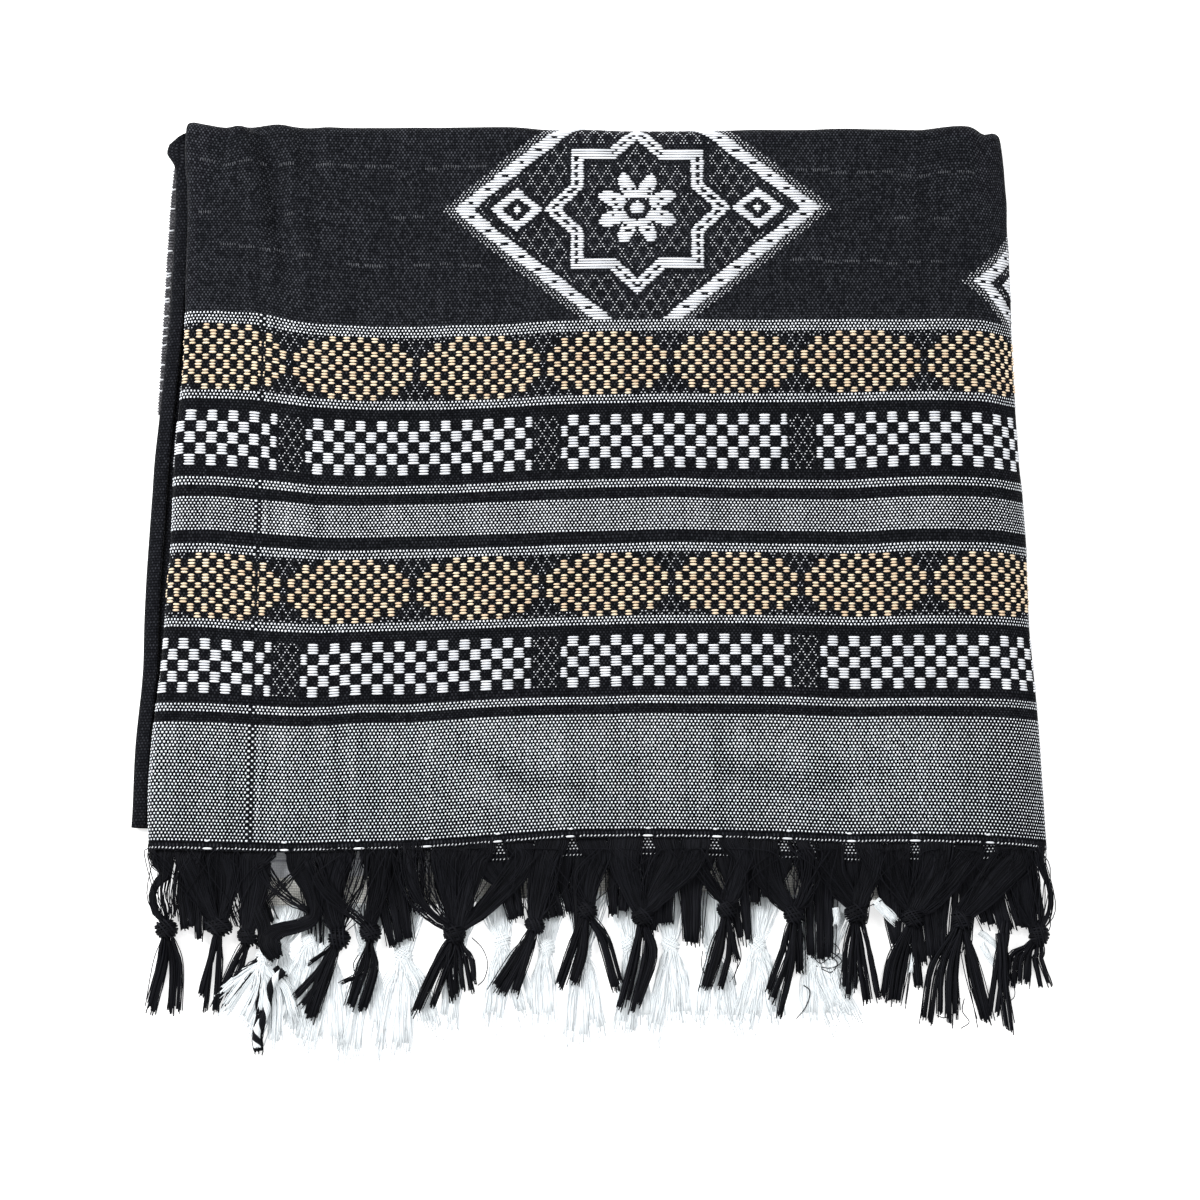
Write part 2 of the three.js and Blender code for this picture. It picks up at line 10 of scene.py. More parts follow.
import bpy
import numpy as np
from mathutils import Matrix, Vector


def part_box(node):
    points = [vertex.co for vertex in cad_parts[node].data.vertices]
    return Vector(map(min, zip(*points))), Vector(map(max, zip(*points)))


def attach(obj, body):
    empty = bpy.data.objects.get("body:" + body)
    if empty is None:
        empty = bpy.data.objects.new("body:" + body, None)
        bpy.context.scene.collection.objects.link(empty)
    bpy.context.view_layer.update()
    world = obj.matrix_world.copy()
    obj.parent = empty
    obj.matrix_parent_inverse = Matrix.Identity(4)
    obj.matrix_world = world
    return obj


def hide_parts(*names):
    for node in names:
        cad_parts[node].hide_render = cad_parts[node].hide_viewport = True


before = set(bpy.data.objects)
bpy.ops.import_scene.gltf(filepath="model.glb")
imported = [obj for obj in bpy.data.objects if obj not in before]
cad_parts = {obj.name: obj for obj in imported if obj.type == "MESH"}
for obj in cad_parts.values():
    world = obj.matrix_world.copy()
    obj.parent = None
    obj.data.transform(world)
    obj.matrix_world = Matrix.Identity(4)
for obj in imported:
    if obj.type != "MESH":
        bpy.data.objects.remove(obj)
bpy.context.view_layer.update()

MM = 0.001
# The middle of the hem, from the middle and the near side of the front panel's box.
HEM_MIDDLE = (1.5, 3.7)
front_low, front_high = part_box("front_panel")
ORIGIN = np.array([
    (front_low.x + front_high.x) / 2 + HEM_MIDDLE[0] * MM, front_low.y + HEM_MIDDLE[1] * MM, 0,
])


def metres(points):
    """Places in the scene of points in millimetres from the middle of the hem."""
    return np.asarray(points) * MM + ORIGIN


# ---- The lie of the cloth, as in the part ---------------------------------------------------

CLOTH = 1.0  # thickness of a shown ply
RUN_LENGTH = 360  # from the hem to the crown of the top fold
STACK_HEIGHT = 14.5
BEND_RADIUS = STACK_HEIGHT / 2
BEND_START = RUN_LENGTH - BEND_RADIUS
HEM_HEIGHT = 0.87  # share of the stack's height at the hem
HEM_SLOPE = 120  # where the stack has its full height
HEM_WAVE_FADE = (200, 340)  # where the hem's wave dies out
TOP_REACH_START = 300  # where the top fold's own line begins to tell
LIP_TURN = 0.94 * math.pi  # how far the side folds turn
UPPER = {"left_roll": 6.5, "right_roll": 16, "depth": 6.6, "columns": (1, 2)}
LOWER = {"left_roll": 9, "right_roll": 8, "depth": 6.2, "columns": (3, 4)}
LOWER_START = 11
# The front panel's threads crowd together round its right fold: by how much, and how soon.
CROWDED, CROWD_REACH = 7, 17

# y, left and right edge of the upper run, left and right edge of the lower run
OUTLINE = np.array([
    (0, -212.6, 209.6, -220.8, 204.0),
    (30, -212.4, 208.4, -220.1, 203.0),
    (60, -211.0, 207.1, -218.8, 202.0),
    (90, -209.0, 205.9, -217.6, 200.5),
    (135, -207.2, 204.7, -217.4, 199.5),
    (180, -205.5, 203.4, -215.9, 198.0),
    (220, -204.0, 202.7, -215.2, 197.5),
    (265, -203.6, 201.6, -212.2, 196.5),
    (300, -204.1, 201.3, -211.6, 196.0),
    (322, -204.8, 201.5, -211.4, 196.0),
    (338, -206.6, 201.1, -211.9, 196.5),
    (346, -206.6, 200.6, -215.0, 197.5),
    (352, -206.4, 200.0, -215.6, 198.0),
    (360, -206.2, 199.6, -214.0, 198.0),
])
HEM_WAVE = np.array([
    (-212, -2.6), (-184, -3.3), (-148, -4.1), (-113, -3.1), (-81.5, -2.2), (-48, 0.2), (-14, 2.6),
    (22.5, 3.1), (55, 2.6), (88, 1.6), (118, 0.2), (148, 0.7), (183, -0.3), (210, -2.4),
])
TOP_REACH = np.array([
    (-207, 5.5), (-204.5, 4.8), (-200, 3.4), (-192.5, 1.7), (-185, 1.2), (-176, 2.5), (-171, 2.8),
    (-150, 2.0), (-100, 0.9), (0, -0.2), (160, -0.3), (171, 1.6), (177, 2.4), (182.5, 2.3),
    (187.5, 0.4), (192.4, -2.2), (196, -0.5), (199, -0.4), (200.3, -2.5), (201.5, -6),
])
# How far the bands run above their place: across, and at five heights up the face.
WAVE_ACROSS = (-205, -190, -168, -150, -135, -115, -90, -55, -20, 30, 90, 118, 155, 185, 200, 212)
BAND_WAVE = {
    55: (1.8, 1.6, 0.4, -0.4, -0.4, 1.3, 1.4, 4.0, 5.2, 5.8, 5.0, 4.1, 4.6, 4.3, 3.2, 2.5),
    106: (2.0, 1.8, 0.2, -0.8, -1.5, -1.4, -0.6, 0.5, 2.1, 3.4, 2.6, 1.8, 3.0, 3.1, 2.0, 1.5),
    158: (3.6, 4.2, 2.6, 0.7, -0.6, -0.6, -0.3, 1.0, 2.2, 3.4, 2.5, 2.4, 3.9, 3.7, 1.5, 1.0),
    217: (4.8, 5.1, 4.0, 1.4, -0.2, -1.4, -1.6, -0.6, 1.4, 2.5, 2.6, 2.7, 3.5, 3.2, 1.0, 0.5),
    256: (6.8, 6.8, 6.1, 1.6, -0.1, -1.0, -1.2, -0.3, 1.3, 2.4, 2.4, 2.4, 2.4, 2.2, -0.2, -1.0),
}
WAVE_END = 346
# x, y, reach across, reach along, share of the height
SWELLS = [
    (-150, 310, 60, 60, -0.035),
    (60, 240, 90, 80, 0.03),
    (-90, 60, 80, 70, -0.03),
    (120, 90, 60, 90, 0.025),
]


def smooth_line(xs, ys, blur):
    """A table as a smooth function."""
    at = np.arange(xs[0] - 40, xs[-1] + 41, 0.5)
    reach = int(6 * blur)
    kernel = np.exp(-0.5 * (np.arange(-reach, reach + 1) * 0.5 / blur) ** 2)
    padded = np.pad(np.interp(at, xs, ys), reach, mode="edge")
    values = np.convolve(padded, kernel / kernel.sum(), mode="valid")
    return lambda q: np.interp(q, at, values)


hem_wave = smooth_line(*HEM_WAVE.T, 7)
top_reach = smooth_line(*TOP_REACH.T, 1.1)
wave_lines = [hem_wave] + [smooth_line(WAVE_ACROSS, row, 5) for row in BAND_WAVE.values()]
wave_rows = np.array([0, *BAND_WAVE, WAVE_END])
edge_line = {c: smooth_line(OUTLINE[:, 0], OUTLINE[:, c], 3.5) for c in (1, 2, 3, 4)}


def smoothstep(x, low, high):
    """Rises softly from 0 at low to 1 at high."""
    t = np.clip((x - low) / (high - low), 0, 1)
    return t * t * (3 - 2 * t)


def height_share(x, y):
    """Height of the stack at a place, as a share of its full height."""
    share = HEM_HEIGHT + (1 - HEM_HEIGHT) * smoothstep(y, 0, HEM_SLOPE)
    for at_x, at_y, wide, long, lift in SWELLS:
        share = share + lift * np.exp(-(((x - at_x) / wide) ** 2) - ((y - at_y) / long) ** 2)
    return share


def band_wave(s, d):
    """How far the bands of the face run above their place."""
    values = np.stack([line(s) for line in wave_lines] + [np.zeros(np.shape(s))])
    k = np.clip(np.searchsorted(wave_rows, d, side="right") - 1, 0, len(wave_rows) - 2)
    f = np.clip((d - wave_rows[k]) / (wave_rows[k + 1] - wave_rows[k]), 0, 1)
    low, high = (np.take_along_axis(values, n[None], 0)[0] for n in (k, k + 1))
    return low + (high - low) * f


def top_shift(x, y):
    """How far the top fold's own line carries a place up."""
    return top_reach(x) * smoothstep(y, TOP_REACH_START, BEND_START)


def lay(x, y, z):
    """Carries a point of the straight bundle to its place in the waved and swollen one."""
    waved = hem_wave(x) * (1 - smoothstep(y, *HEM_WAVE_FADE))
    return np.stack([x, y + waved + top_shift(x, y), z * height_share(x, y)], axis=-1)


def arc_of(roll, middle):
    """Turn of a side fold against the length of cloth that has gone round it."""
    turn = np.linspace(0, math.pi, 200)
    step = np.hypot(roll * np.cos(turn), middle * np.sin(turn))
    length = np.concatenate([[0], np.cumsum((step[1:] + step[:-1]) / 2 * np.diff(turn))])
    return length, turn


for run in (UPPER, LOWER):
    run["left_arc"] = arc_of(run["left_roll"], run["depth"] / 2)
    run["right_arc"] = arc_of(run["right_roll"], run["depth"] / 2)
crowd_length, crowd_turn = UPPER["right_arc"]
crowd_length = crowd_length + CROWDED * np.clip(crowd_length / CROWD_REACH, 0, 1) ** 2
UPPER["right_arc"] = (crowd_length, crowd_turn)

# Soft ripples of the whole cloth: lengths, directions and places.
rng = np.random.default_rng(11)
RIPPLES = 16
RIPPLE_LENGTH = np.geomspace(22, 150, RIPPLES)
RIPPLE_ANGLE = rng.uniform(0, math.pi, RIPPLES)
RIPPLE_PHASE = rng.uniform(0, 2 * math.pi, RIPPLES)
RIPPLE_SLOPE = 0.022
RIPPLE_LIMIT = 1.3
RELIEF_ON_LIP = 0.35  # share of the relief that is left where a side fold has turned under
RELIEF_FADE = (356, 370)  # where it dies out round the top fold
# Each crease is a trough with a lower ridge on both sides, and fades towards its ends.
RIDGE_HEIGHT, RIDGE_PLACE, RIDGE_WIDTH = 0.45, 2.1, 1.1
CREASE_FADE = 0.7
# The creases pressed into the cloth: places along each, its depth and its half width.
CREASES = [
    ([(-176, 366), (-169, 355), (-163, 341), (-160, 322), (-157, 302), (-151, 280)], 4.0, 4.8),
    ([(-146, 364), (-143, 344), (-149, 322)], 1.3, 5.0),
    ([(-187, 366), (-186, 350), (-190, 326)], 1.3, 3.6),
    ([(-153, 318), (-163, 299), (-166, 282)], 0.6, 3.5),
    ([(-140, 226), (-137, 172), (-131, 112), (-126, 55), (-121, 12)], 0.35, 3.6),
    ([(-165, 262), (-164.5, 150), (-164, 4)], 0.18, 1.6),
    ([(-198, 250), (-192, 190), (-197, 120), (-203, 60)], 0.5, 6.0),
    ([(-60, 40), (-35, 26), (-5, 22)], 1.0, 7.0),
    ([(60, 30), (95, 24), (130, 30)], 0.9, 7.0),
    ([(150, 352), (158, 330), (172, 306)], 1.2, 6.0),
    ([(192.5, 366), (191, 350), (188, 332)], 1.3, 3.0),
    ([(-100, 345), (-60, 338), (-30, 342)], 0.4, 8.0),
    ([(110, 240), (150, 228), (184, 232)], 0.35, 7.0),
    ([(176, 240), (182, 200), (178, 150)], 0.5, 8.0),
    ([(186, 120), (182, 70), (188, 20)], 0.5, 7.0),
]


def near_line(s, d, points):
    """Distance to a line of points, and the share of the way along it."""
    best = np.full(np.shape(s), 1e9)
    along = np.zeros(np.shape(s))
    for k in range(len(points) - 1):
        (ax, ay), (bx, by) = points[k], points[k + 1]
        t = np.clip(
            ((s - ax) * (bx - ax) + (d - ay) * (by - ay)) / ((bx - ax) ** 2 + (by - ay) ** 2), 0, 1
        )
        gap = np.hypot(s - ax - t * (bx - ax), d - ay - t * (by - ay))
        closer = gap < best
        best = np.where(closer, gap, best)
        along = np.where(closer, (k + t) / (len(points) - 1), along)
    return best, along


def relief(s, d):
    """How far the skin stands above its plain form."""
    height = np.zeros(np.broadcast(s, d).shape)
    for length, angle, phase in zip(RIPPLE_LENGTH, RIPPLE_ANGLE, RIPPLE_PHASE):
        k = 2 * math.pi / length
        amount = RIPPLE_SLOPE / k
        height = height + amount * np.sin(k * (s * math.cos(angle) + d * math.sin(angle)) + phase)
    height = RIPPLE_LIMIT * np.tanh(height / RIPPLE_LIMIT)
    for points, depth, width in CREASES:
        gap, along = near_line(s, d, points)
        fade = np.sin(math.pi * np.clip(0.12 + 0.76 * along, 0, 1)) ** CREASE_FADE
        trough = np.exp(-((gap / width) ** 2))
        offset = (gap - RIDGE_PLACE * width) / (RIDGE_WIDTH * width)
        ridge = RIDGE_HEIGHT * np.exp(-(offset**2))
        height = height + depth * fade * (ridge - trough)
    return height


def skin(run, s, d, lift=0.0):
    """Places on the outer face of a run of cloth, raised by lift."""
    s, d, lift = np.broadcast_arrays(*map(np.asarray, (s, d, lift)))
    left, right = (edge_line[c](np.minimum(d, RUN_LENGTH)) for c in run["columns"])
    flat_left, flat_right = left + run["left_roll"], right - run["right_roll"]
    on_left, on_right = s < flat_left, s > flat_right
    turn = np.where(
        on_left,
        np.interp(flat_left - s, *run["left_arc"]),
        np.where(on_right, np.interp(s - flat_right, *run["right_arc"]), 0),
    )
    if run is UPPER:
        under = RELIEF_ON_LIP + (1 - RELIEF_ON_LIP) * np.cos(turn / 2) ** 2
        lift = lift + relief(s, d) * under * (1 - smoothstep(d, *RELIEF_FADE))
    middle = run["depth"] / 2
    depth = middle - (middle + lift) * np.cos(turn)
    x = np.where(on_left, flat_left - (run["left_roll"] + lift) * np.sin(turn), s)
    x = np.where(on_right, flat_right + (run["right_roll"] + lift) * np.sin(turn), x)
    if run is LOWER:
        return lay(x, d, depth)
    bend = np.clip((d - BEND_START) / BEND_RADIUS, 0, math.pi)
    radius = BEND_RADIUS - depth
    y = np.where(bend > 0, BEND_START + radius * np.sin(bend), d)
    z = np.where(bend > 0, BEND_RADIUS + radius * np.cos(bend), STACK_HEIGHT - depth)
    shift = band_wave(s, d) + top_shift(x, y)
    return np.stack([x, y + shift, z * height_share(x, y)], axis=-1)


PLY_GAP, PLY_PITCH = 0.3, 1.2


def tucked(outer, inner, layer):
    """A ply's two faces, let down wherever the front panel's creases would reach through it."""
    x, y = outer[..., 0], outer[..., 1]
    d = y
    for _ in range(3):  # works back from the waved place to the straight one
        d = y - band_wave(x, np.clip(d, 0, WAVE_END)) - top_shift(x, y)
    under = (STACK_HEIGHT - CLOTH + relief(x, d)) * height_share(x, y) - PLY_GAP - PLY_PITCH * layer
    drop = np.maximum(outer[..., 2] - under, 0)[..., None] * np.array([0, 0, 1.0])
    return outer - drop, inner - drop


# ---- The weave ------------------------------------------------------------------------------

END = 0.859  # pitch of the warp ends
PICK = 1.41  # pitch of the picks on the plain ground
THREAD_UV = 0.01  # step of the cloth's UV for each end and pick
GROUND_PICKS = 86
# kind of weft, where it stops up from the hem, and its picks
BANDS = [
    ("hem", 1.0, 1),
    ("black", 3.0, 1),
    ("grey", 55.7, 37),
    ("black", 60.5, 4),
    ("grey", 64.9, 3),
    ("black", 69.5, 3),
    ("check", 96.3, 20),
    ("black", 101.5, 4),
    ("grey", 106.1, 3),
    ("gold", 137.0, 22),
    ("grey", 141.7, 3),
    ("black", 147.7, 4),
    ("grey", 164.2, 12),
    ("black", 169.4, 4),
    ("grey", 174.0, 3),
    ("black", 179.2, 4),
    ("check", 207.1, 20),
    ("black", 212.5, 4),
    ("grey", 217.3, 3),
    ("gold", 249.6, 22),
    ("grey", 255.7, 4),
    ("ground", 255.7 + GROUND_PICKS * PICK, GROUND_PICKS),
]
BAND_START = -1.0

pick_edge, pick_kind, pick_row = [BAND_START], [], []
for kind, stop, count in BANDS:
    start = pick_edge[-1]
    for k in range(count):
        pick_edge.append(start + (stop - start) * (k + 1) / count)
        pick_kind.append(kind)
        pick_row.append(k)
pick_edge, pick_row = np.array(pick_edge), np.array(pick_row)
pick_at = (pick_edge[1:] + pick_edge[:-1]) / 2
pick_pitch = np.diff(pick_edge)
pick_kind = np.array(pick_kind)
PICKS = np.arange(len(pick_at))
ENDS = np.arange(-258, 270)  # numbers of the warp ends, from the middle
GROUND_PICK = int(np.argmax(pick_kind == "ground"))

# The checks: where a group starts, its ends, those from group to group, and its blocks.
CHECK_START = -18.6
CHECK_GROUP, CHECK_REPEAT, CHECK_PERIOD, CHECK_BLOCK, CHECK_PICKS = 128, 144, 12, 6, 4
# The ovals: where one starts, its ends, and the blocks and picks of each of its rows.
OVAL_START = -27.4
OVAL_ENDS, OVAL_PERIOD, OVAL_BLOCK = 72, 8, 4
OVAL_PICKS = (2, 3, 2, 3, 2, 3, 2, 3, 2)
OVAL_BLOCKS = (4, 7, 8, 9, 8, 9, 8, 7, 4)
# Small diapers of single crossings: one between the blocks, one inside the motifs.
STIPPLE = ("x.....", ".x...x", "..x.x.", "...x..", "..x.x.", ".x...x")
DIAPER = (
    "x.x...x.", ".x.....x", "x.......", ".x.....x", "..x.x.x.", "...x.x..", "....x...", "...x.x..",
)

SHOWN_LEFT, SHOWN_RIGHT = 13.5, 29.5  # how far crossings go round the side folds


def on_front(s, d):
    """True where a place is on the shown skin, short of the hidden lips."""
    left, right = (edge_line[c](np.minimum(d, RUN_LENGTH)) for c in UPPER["columns"])
    low = left + UPPER["left_roll"] - SHOWN_LEFT
    high = right - UPPER["right_roll"] + SHOWN_RIGHT + CROWDED
    return (s > low) & (s < high)


def charted(chart, i, j):
    """True where a chart has an x, with the chart repeated over all ends i and picks j."""
    rows = np.array([[c == "x" for c in row] for row in chart])
    return rows[j % len(rows), i % len(rows[0])]


def runs_of(mask, seam):
    """Starts and lengths, in ends, of the floats of each row of a mask, cut at its seams."""
    starts, lengths, rows = [], [], []
    for j, row in enumerate(mask):
        cut = row & ~seam[j]
        edges = np.flatnonzero(np.diff(np.concatenate([[False], cut, [False]]).astype(int)))
        for a, b in zip(edges[::2], edges[1::2]):
            starts.append(a)
            lengths.append(b - a)
            rows.append(j)
    return np.array(starts), np.array(lengths), np.array(rows)


# ---- Small shapes laid on the cloth ---------------------------------------------------------


def build(name, points, *face_sets, material=None, uv=None, smooth=True):
    """A mesh object from points in millimetres and arrays of faces."""
    mesh = bpy.data.meshes.new(name)
    points = metres(points.reshape(-1, 3))
    face_sets = [f for f in face_sets if len(f)]
    corners = np.concatenate([f.ravel() for f in face_sets])
    sizes = np.concatenate([np.full(len(f), f.shape[1]) for f in face_sets])
    mesh.vertices.add(len(points))
    mesh.vertices.foreach_set("co", points.astype(np.float32).ravel())
    mesh.loops.add(len(corners))
    mesh.loops.foreach_set("vertex_index", corners.astype(np.int32))
    mesh.polygons.add(len(sizes))
    mesh.polygons.foreach_set(
        "loop_start", np.concatenate([[0], np.cumsum(sizes)[:-1]]).astype(np.int32)
    )
    mesh.polygons.foreach_set("use_smooth", np.full(len(sizes), smooth))
    if uv is not None:
        layer = mesh.uv_layers.new(name="threads")
        layer.uv.foreach_set("vector", uv.reshape(-1, 2)[corners].astype(np.float32).ravel())
    mesh.update(calc_edges=True)
    mesh.validate()
    piece = bpy.data.objects.new(name, mesh)
    bpy.context.scene.collection.objects.link(piece)
    if material:
        mesh.materials.append(material)
    return piece


def dot_template():
    """A crossing: a low cone, flat beneath."""
    sides = 5
    turn = np.arange(sides) * 2 * math.pi / sides
    rim = np.stack([np.cos(turn), np.sin(turn), np.zeros(sides)], 1)
    points = np.concatenate([rim, [[0, 0, 1]]])
    around = [(i, (i + 1) % sides, sides) for i in range(sides)]
    under = [(0, i + 1, i) for i in range(1, sides - 1)]
    return points, np.array(around + under), np.zeros((0, 4), int)


SHOULDER, SHOULDER_SIZE = 0.8, 0.82  # where a float begins to taper, and its size there
LEAST_SHOULDER = 0.4
TIP = 0.75  # how far a longer float's end is rounded
SINK = 0.12  # how far a float or a crossing sits in the cloth


def float_template():
    """A weft float: a low rounded bar with pointed ends, flat beneath."""
    across = np.linspace(0, math.pi, 5)
    rings = [(-SHOULDER, SHOULDER_SIZE), (0, 1.0), (SHOULDER, SHOULDER_SIZE)]
    points = [(a, w * math.cos(t), w * math.sin(t)) for a, w in rings for t in across]
    points += [(-1, 0, 0.15), (1, 0, 0.15)]
    quads = []
    for ring in range(2):
        for k in range(4):
            a = ring * 5 + k
            quads.append((a, a + 5, a + 6, a + 1))
        quads.append((ring * 5, ring * 5 + 4, ring * 5 + 9, ring * 5 + 5))
    tris = [(k, k + 1, 15) for k in range(4)] + [(4, 0, 15)]
    tris += [(10 + k + 1, 10 + k, 16) for k in range(4)] + [(10, 14, 16)]
    return np.array(points), np.array(tris), np.array(quads)


DOT, FLOAT = dot_template(), float_template()


def front_skin(s, d, lift):
    return skin(UPPER, s, d, lift)


def stamped(name, template, s, d, long, wide, high, material, slant=0.0, place=front_skin):
    """Copies of a template on the cloth, each with its own half length, half width and height."""
    points, tris, quads = template
    s, d, long, wide, high, slant = (
        np.broadcast_to(np.asarray(v, float), np.shape(s))[:, None]
        for v in (s, d, long, wide, high, slant)
    )
    a, b, h = points.T
    shoulder = np.sign(a) * np.maximum(LEAST_SHOULDER, 1 - TIP / long)
    a = np.where(np.abs(a) == SHOULDER, shoulder, a)
    along, beside = a * long, b * wide
    at_s = s + along * np.cos(slant) - beside * np.sin(slant)
    at_d = d + along * np.sin(slant) + beside * np.cos(slant)
    placed = place(at_s, at_d, h * high - SINK)
    shift = (np.arange(len(s)) * len(points))[:, None, None]
    return build(
        name, placed, (tris[None] + shift).reshape(-1, 3), (quads[None] + shift).reshape(-1, 4),
        material=material,
    )


def through(points, count):
    """Smooth lines through rows of control points."""
    padded = np.concatenate(
        [2 * points[:, :1] - points[:, 1:2], points, 2 * points[:, -1:] - points[:, -2:-1]], axis=1
    )
    t = np.linspace(0, points.shape[1] - 1, count)
    k = np.minimum(t.astype(int), points.shape[1] - 2)
    f = (t - k)[None, :, None]
    p0, p1, p2, p3 = (padded[:, k + n] for n in range(4))
    return 0.5 * (
        2 * p1 + (p2 - p0) * f + (2 * p0 - 5 * p1 + 4 * p2 - p3) * f**2
        + (3 * p1 - p0 - 3 * p2 + p3) * f**3
    )


def unit(v):
    """Vectors at length one."""
    return v / np.maximum(np.linalg.norm(v, axis=-1, keepdims=True), 1e-9)


def tube_parts(lines, radius, sides, closed=False, up=(0, 0, 1)):
    """Points and faces of tubes along rows of lines."""
    lines = np.asarray(lines, float)
    count, steps = lines.shape[:2]
    if closed:
        tangent = unit(np.roll(lines, -1, 1) - np.roll(lines, 1, 1))
    else:
        tangent = unit(np.gradient(lines, axis=1))
    side = unit(np.cross(tangent, np.broadcast_to(up, tangent.shape)))
    out = np.cross(side, tangent)
    turn = np.arange(sides) * 2 * math.pi / sides
    radius = np.broadcast_to(radius, (count, steps))[..., None, None]
    ring = np.cos(turn)[:, None] * side[:, :, None] + np.sin(turn)[:, None] * out[:, :, None]
    points = lines[:, :, None] + radius * ring
    rows = steps if closed else steps - 1
    base = np.arange(count)[:, None, None] * steps * sides
    r = np.arange(rows)[None, :, None]
    k = np.arange(sides)[None, None, :]
    near, far = base + r * sides, base + ((r + 1) % steps) * sides
    after = (k + 1) % sides
    quads = np.stack(np.broadcast_arrays(near + k, near + after, far + after, far + k), -1)
    caps = np.zeros((0, sides), int)
    if not closed:
        first = base[:, 0] + np.arange(sides)[::-1]
        last = base[:, 0] + (steps - 1) * sides + np.arange(sides)
        caps = np.concatenate([first, last])
    return points.reshape(-1, 3), quads.reshape(-1, 4), caps


def ring_faces(rows, sides, turned=False):
    """Sides and caps of a body made of rows of rings."""
    number = np.arange(rows * sides).reshape(rows, sides)
    after = np.roll(number, -1, 1)
    quads = np.stack([number[:-1], after[:-1], after[1:], number[1:]], -1).reshape(-1, 4)
    caps = np.array([number[0, ::-1], number[-1]])
    return (quads[:, [0, 3, 2, 1]], caps[:, ::-1]) if turned else (quads, caps)


def joined(name, parts, material):
    """One mesh from several sets of points, sides and caps."""
    points, quads, caps, total = [], [], {}, 0
    for p, q, c in parts:
        points.append(p)
        quads.append(q + total)
        if len(c):
            caps.setdefault(c.shape[1], []).append(c + total)
        total += len(p)
    return build(
        name, np.concatenate(points), np.concatenate(quads),
        *[np.concatenate(c) for c in caps.values()], material=material,
    )


def shell(name, outer, inner, uv, material):
    """A thin closed shell between two grids of places."""
    rows, columns = outer.shape[:2]
    count = rows * columns
    number = np.arange(count).reshape(rows, columns)
    face = np.stack([number[:-1, :-1], number[:-1, 1:], number[1:, 1:], number[1:, :-1]], -1)
    face = face.reshape(-1, 4)
    rim = np.concatenate([number[0, :], number[1:, -1], number[-1, -2::-1], number[-2:0:-1, 0]])
    after = np.roll(rim, -1)
    edge = np.stack([after, rim, rim + count, after + count], 1)
    return build(
        name, np.concatenate([outer.reshape(-1, 3), inner.reshape(-1, 3)]),
        np.concatenate([face, face[:, ::-1] + count, edge]),
        material=material, uv=np.concatenate([uv.reshape(-1, 2)] * 2),
    )


# ---- Materials ------------------------------------------------------------------------------


class Value:
    """A node's output. Arithmetic on it adds Math nodes."""

    def __init__(self, paint, socket):
        self.paint, self.socket = paint, socket

    def __add__(self, other):
        return self.paint.math("ADD", self, other)

    def __rsub__(self, other):
        return self.paint.math("SUBTRACT", other, self)

    def __mul__(self, other):
        return self.paint.math("MULTIPLY", self, other)


class Paint:
    """A material with short names for the nodes that it is made of."""

    def __init__(self, name, roughness, sheen=0.0, sheen_roughness=0.5, specular=0.3):
        self.material = bpy.data.materials.new(name)
        self.material.use_nodes = True
        self.nodes = self.material.node_tree.nodes
        self.links = self.material.node_tree.links
        self.shader = self.nodes["Principled BSDF"]
        self.shader.inputs["Roughness"].default_value = roughness
        self.shader.inputs["Sheen Weight"].default_value = sheen
        self.shader.inputs["Sheen Roughness"].default_value = sheen_roughness
        self.shader.inputs["Specular IOR Level"].default_value = specular

    def node(self, kind, settings=None, **inputs):
        made = self.nodes.new(kind)
        for key, value in (settings or {}).items():
            setattr(made, key, value)
        for key, value in inputs.items():
            self.feed(made.inputs[key.replace("_", " ")], value)
        return made

    def out(self, output, *node, **inputs):
        """The named output of a new node."""
        return Value(self, self.node(*node, **inputs).outputs[output])

    def feed(self, socket, value):
        if isinstance(value, Value):
            self.links.new(value.socket, socket)
        else:
            socket.default_value = value

    def math(self, operation, a, b=0.0, c=0.0):
        made = self.node("ShaderNodeMath", {"operation": operation})
        for socket, value in zip(made.inputs, (a, b, c)):
            self.feed(socket, value)
        return Value(self, made.outputs[0])

    def noise(self, scale, detail=2.0, vector=None, roughness=0.5):
        made = self.node("ShaderNodeTexNoise", Scale=scale, Detail=detail, Roughness=roughness)
        self.feed(made.inputs["Vector"], vector or self.out("Object", "ShaderNodeTexCoord"))
        return Value(self, made.outputs["Fac"])

    def mix(self, amount, a, b):
        made = self.node("ShaderNodeMix", {"data_type": "RGBA"})
        self.feed(made.inputs["Factor"], amount)
        for socket, value in ((made.inputs[6], a), (made.inputs[7], b)):
            self.feed(socket, value if isinstance(value, Value) else (*value, 1))
        return Value(self, made.outputs[2])

    def ramp(self, value, low, high, to_low=0.0, to_high=1.0):
        made = self.node("ShaderNodeMapRange", Value=value)
        for name, number in (
            ("From Min", low), ("From Max", high), ("To Min", to_low), ("To Max", to_high)
        ):
            made.inputs[name].default_value = number
        return Value(self, made.outputs["Result"])

    def finish(self, colour, **bump):
        """Sets the colour and, where it has one, the relief."""
        self.feed(self.shader.inputs["Base Color"], colour)
        if bump:
            normal = self.out("Normal", "ShaderNodeBump", **bump)
            self.feed(self.shader.inputs["Normal"], normal)
        return self.material


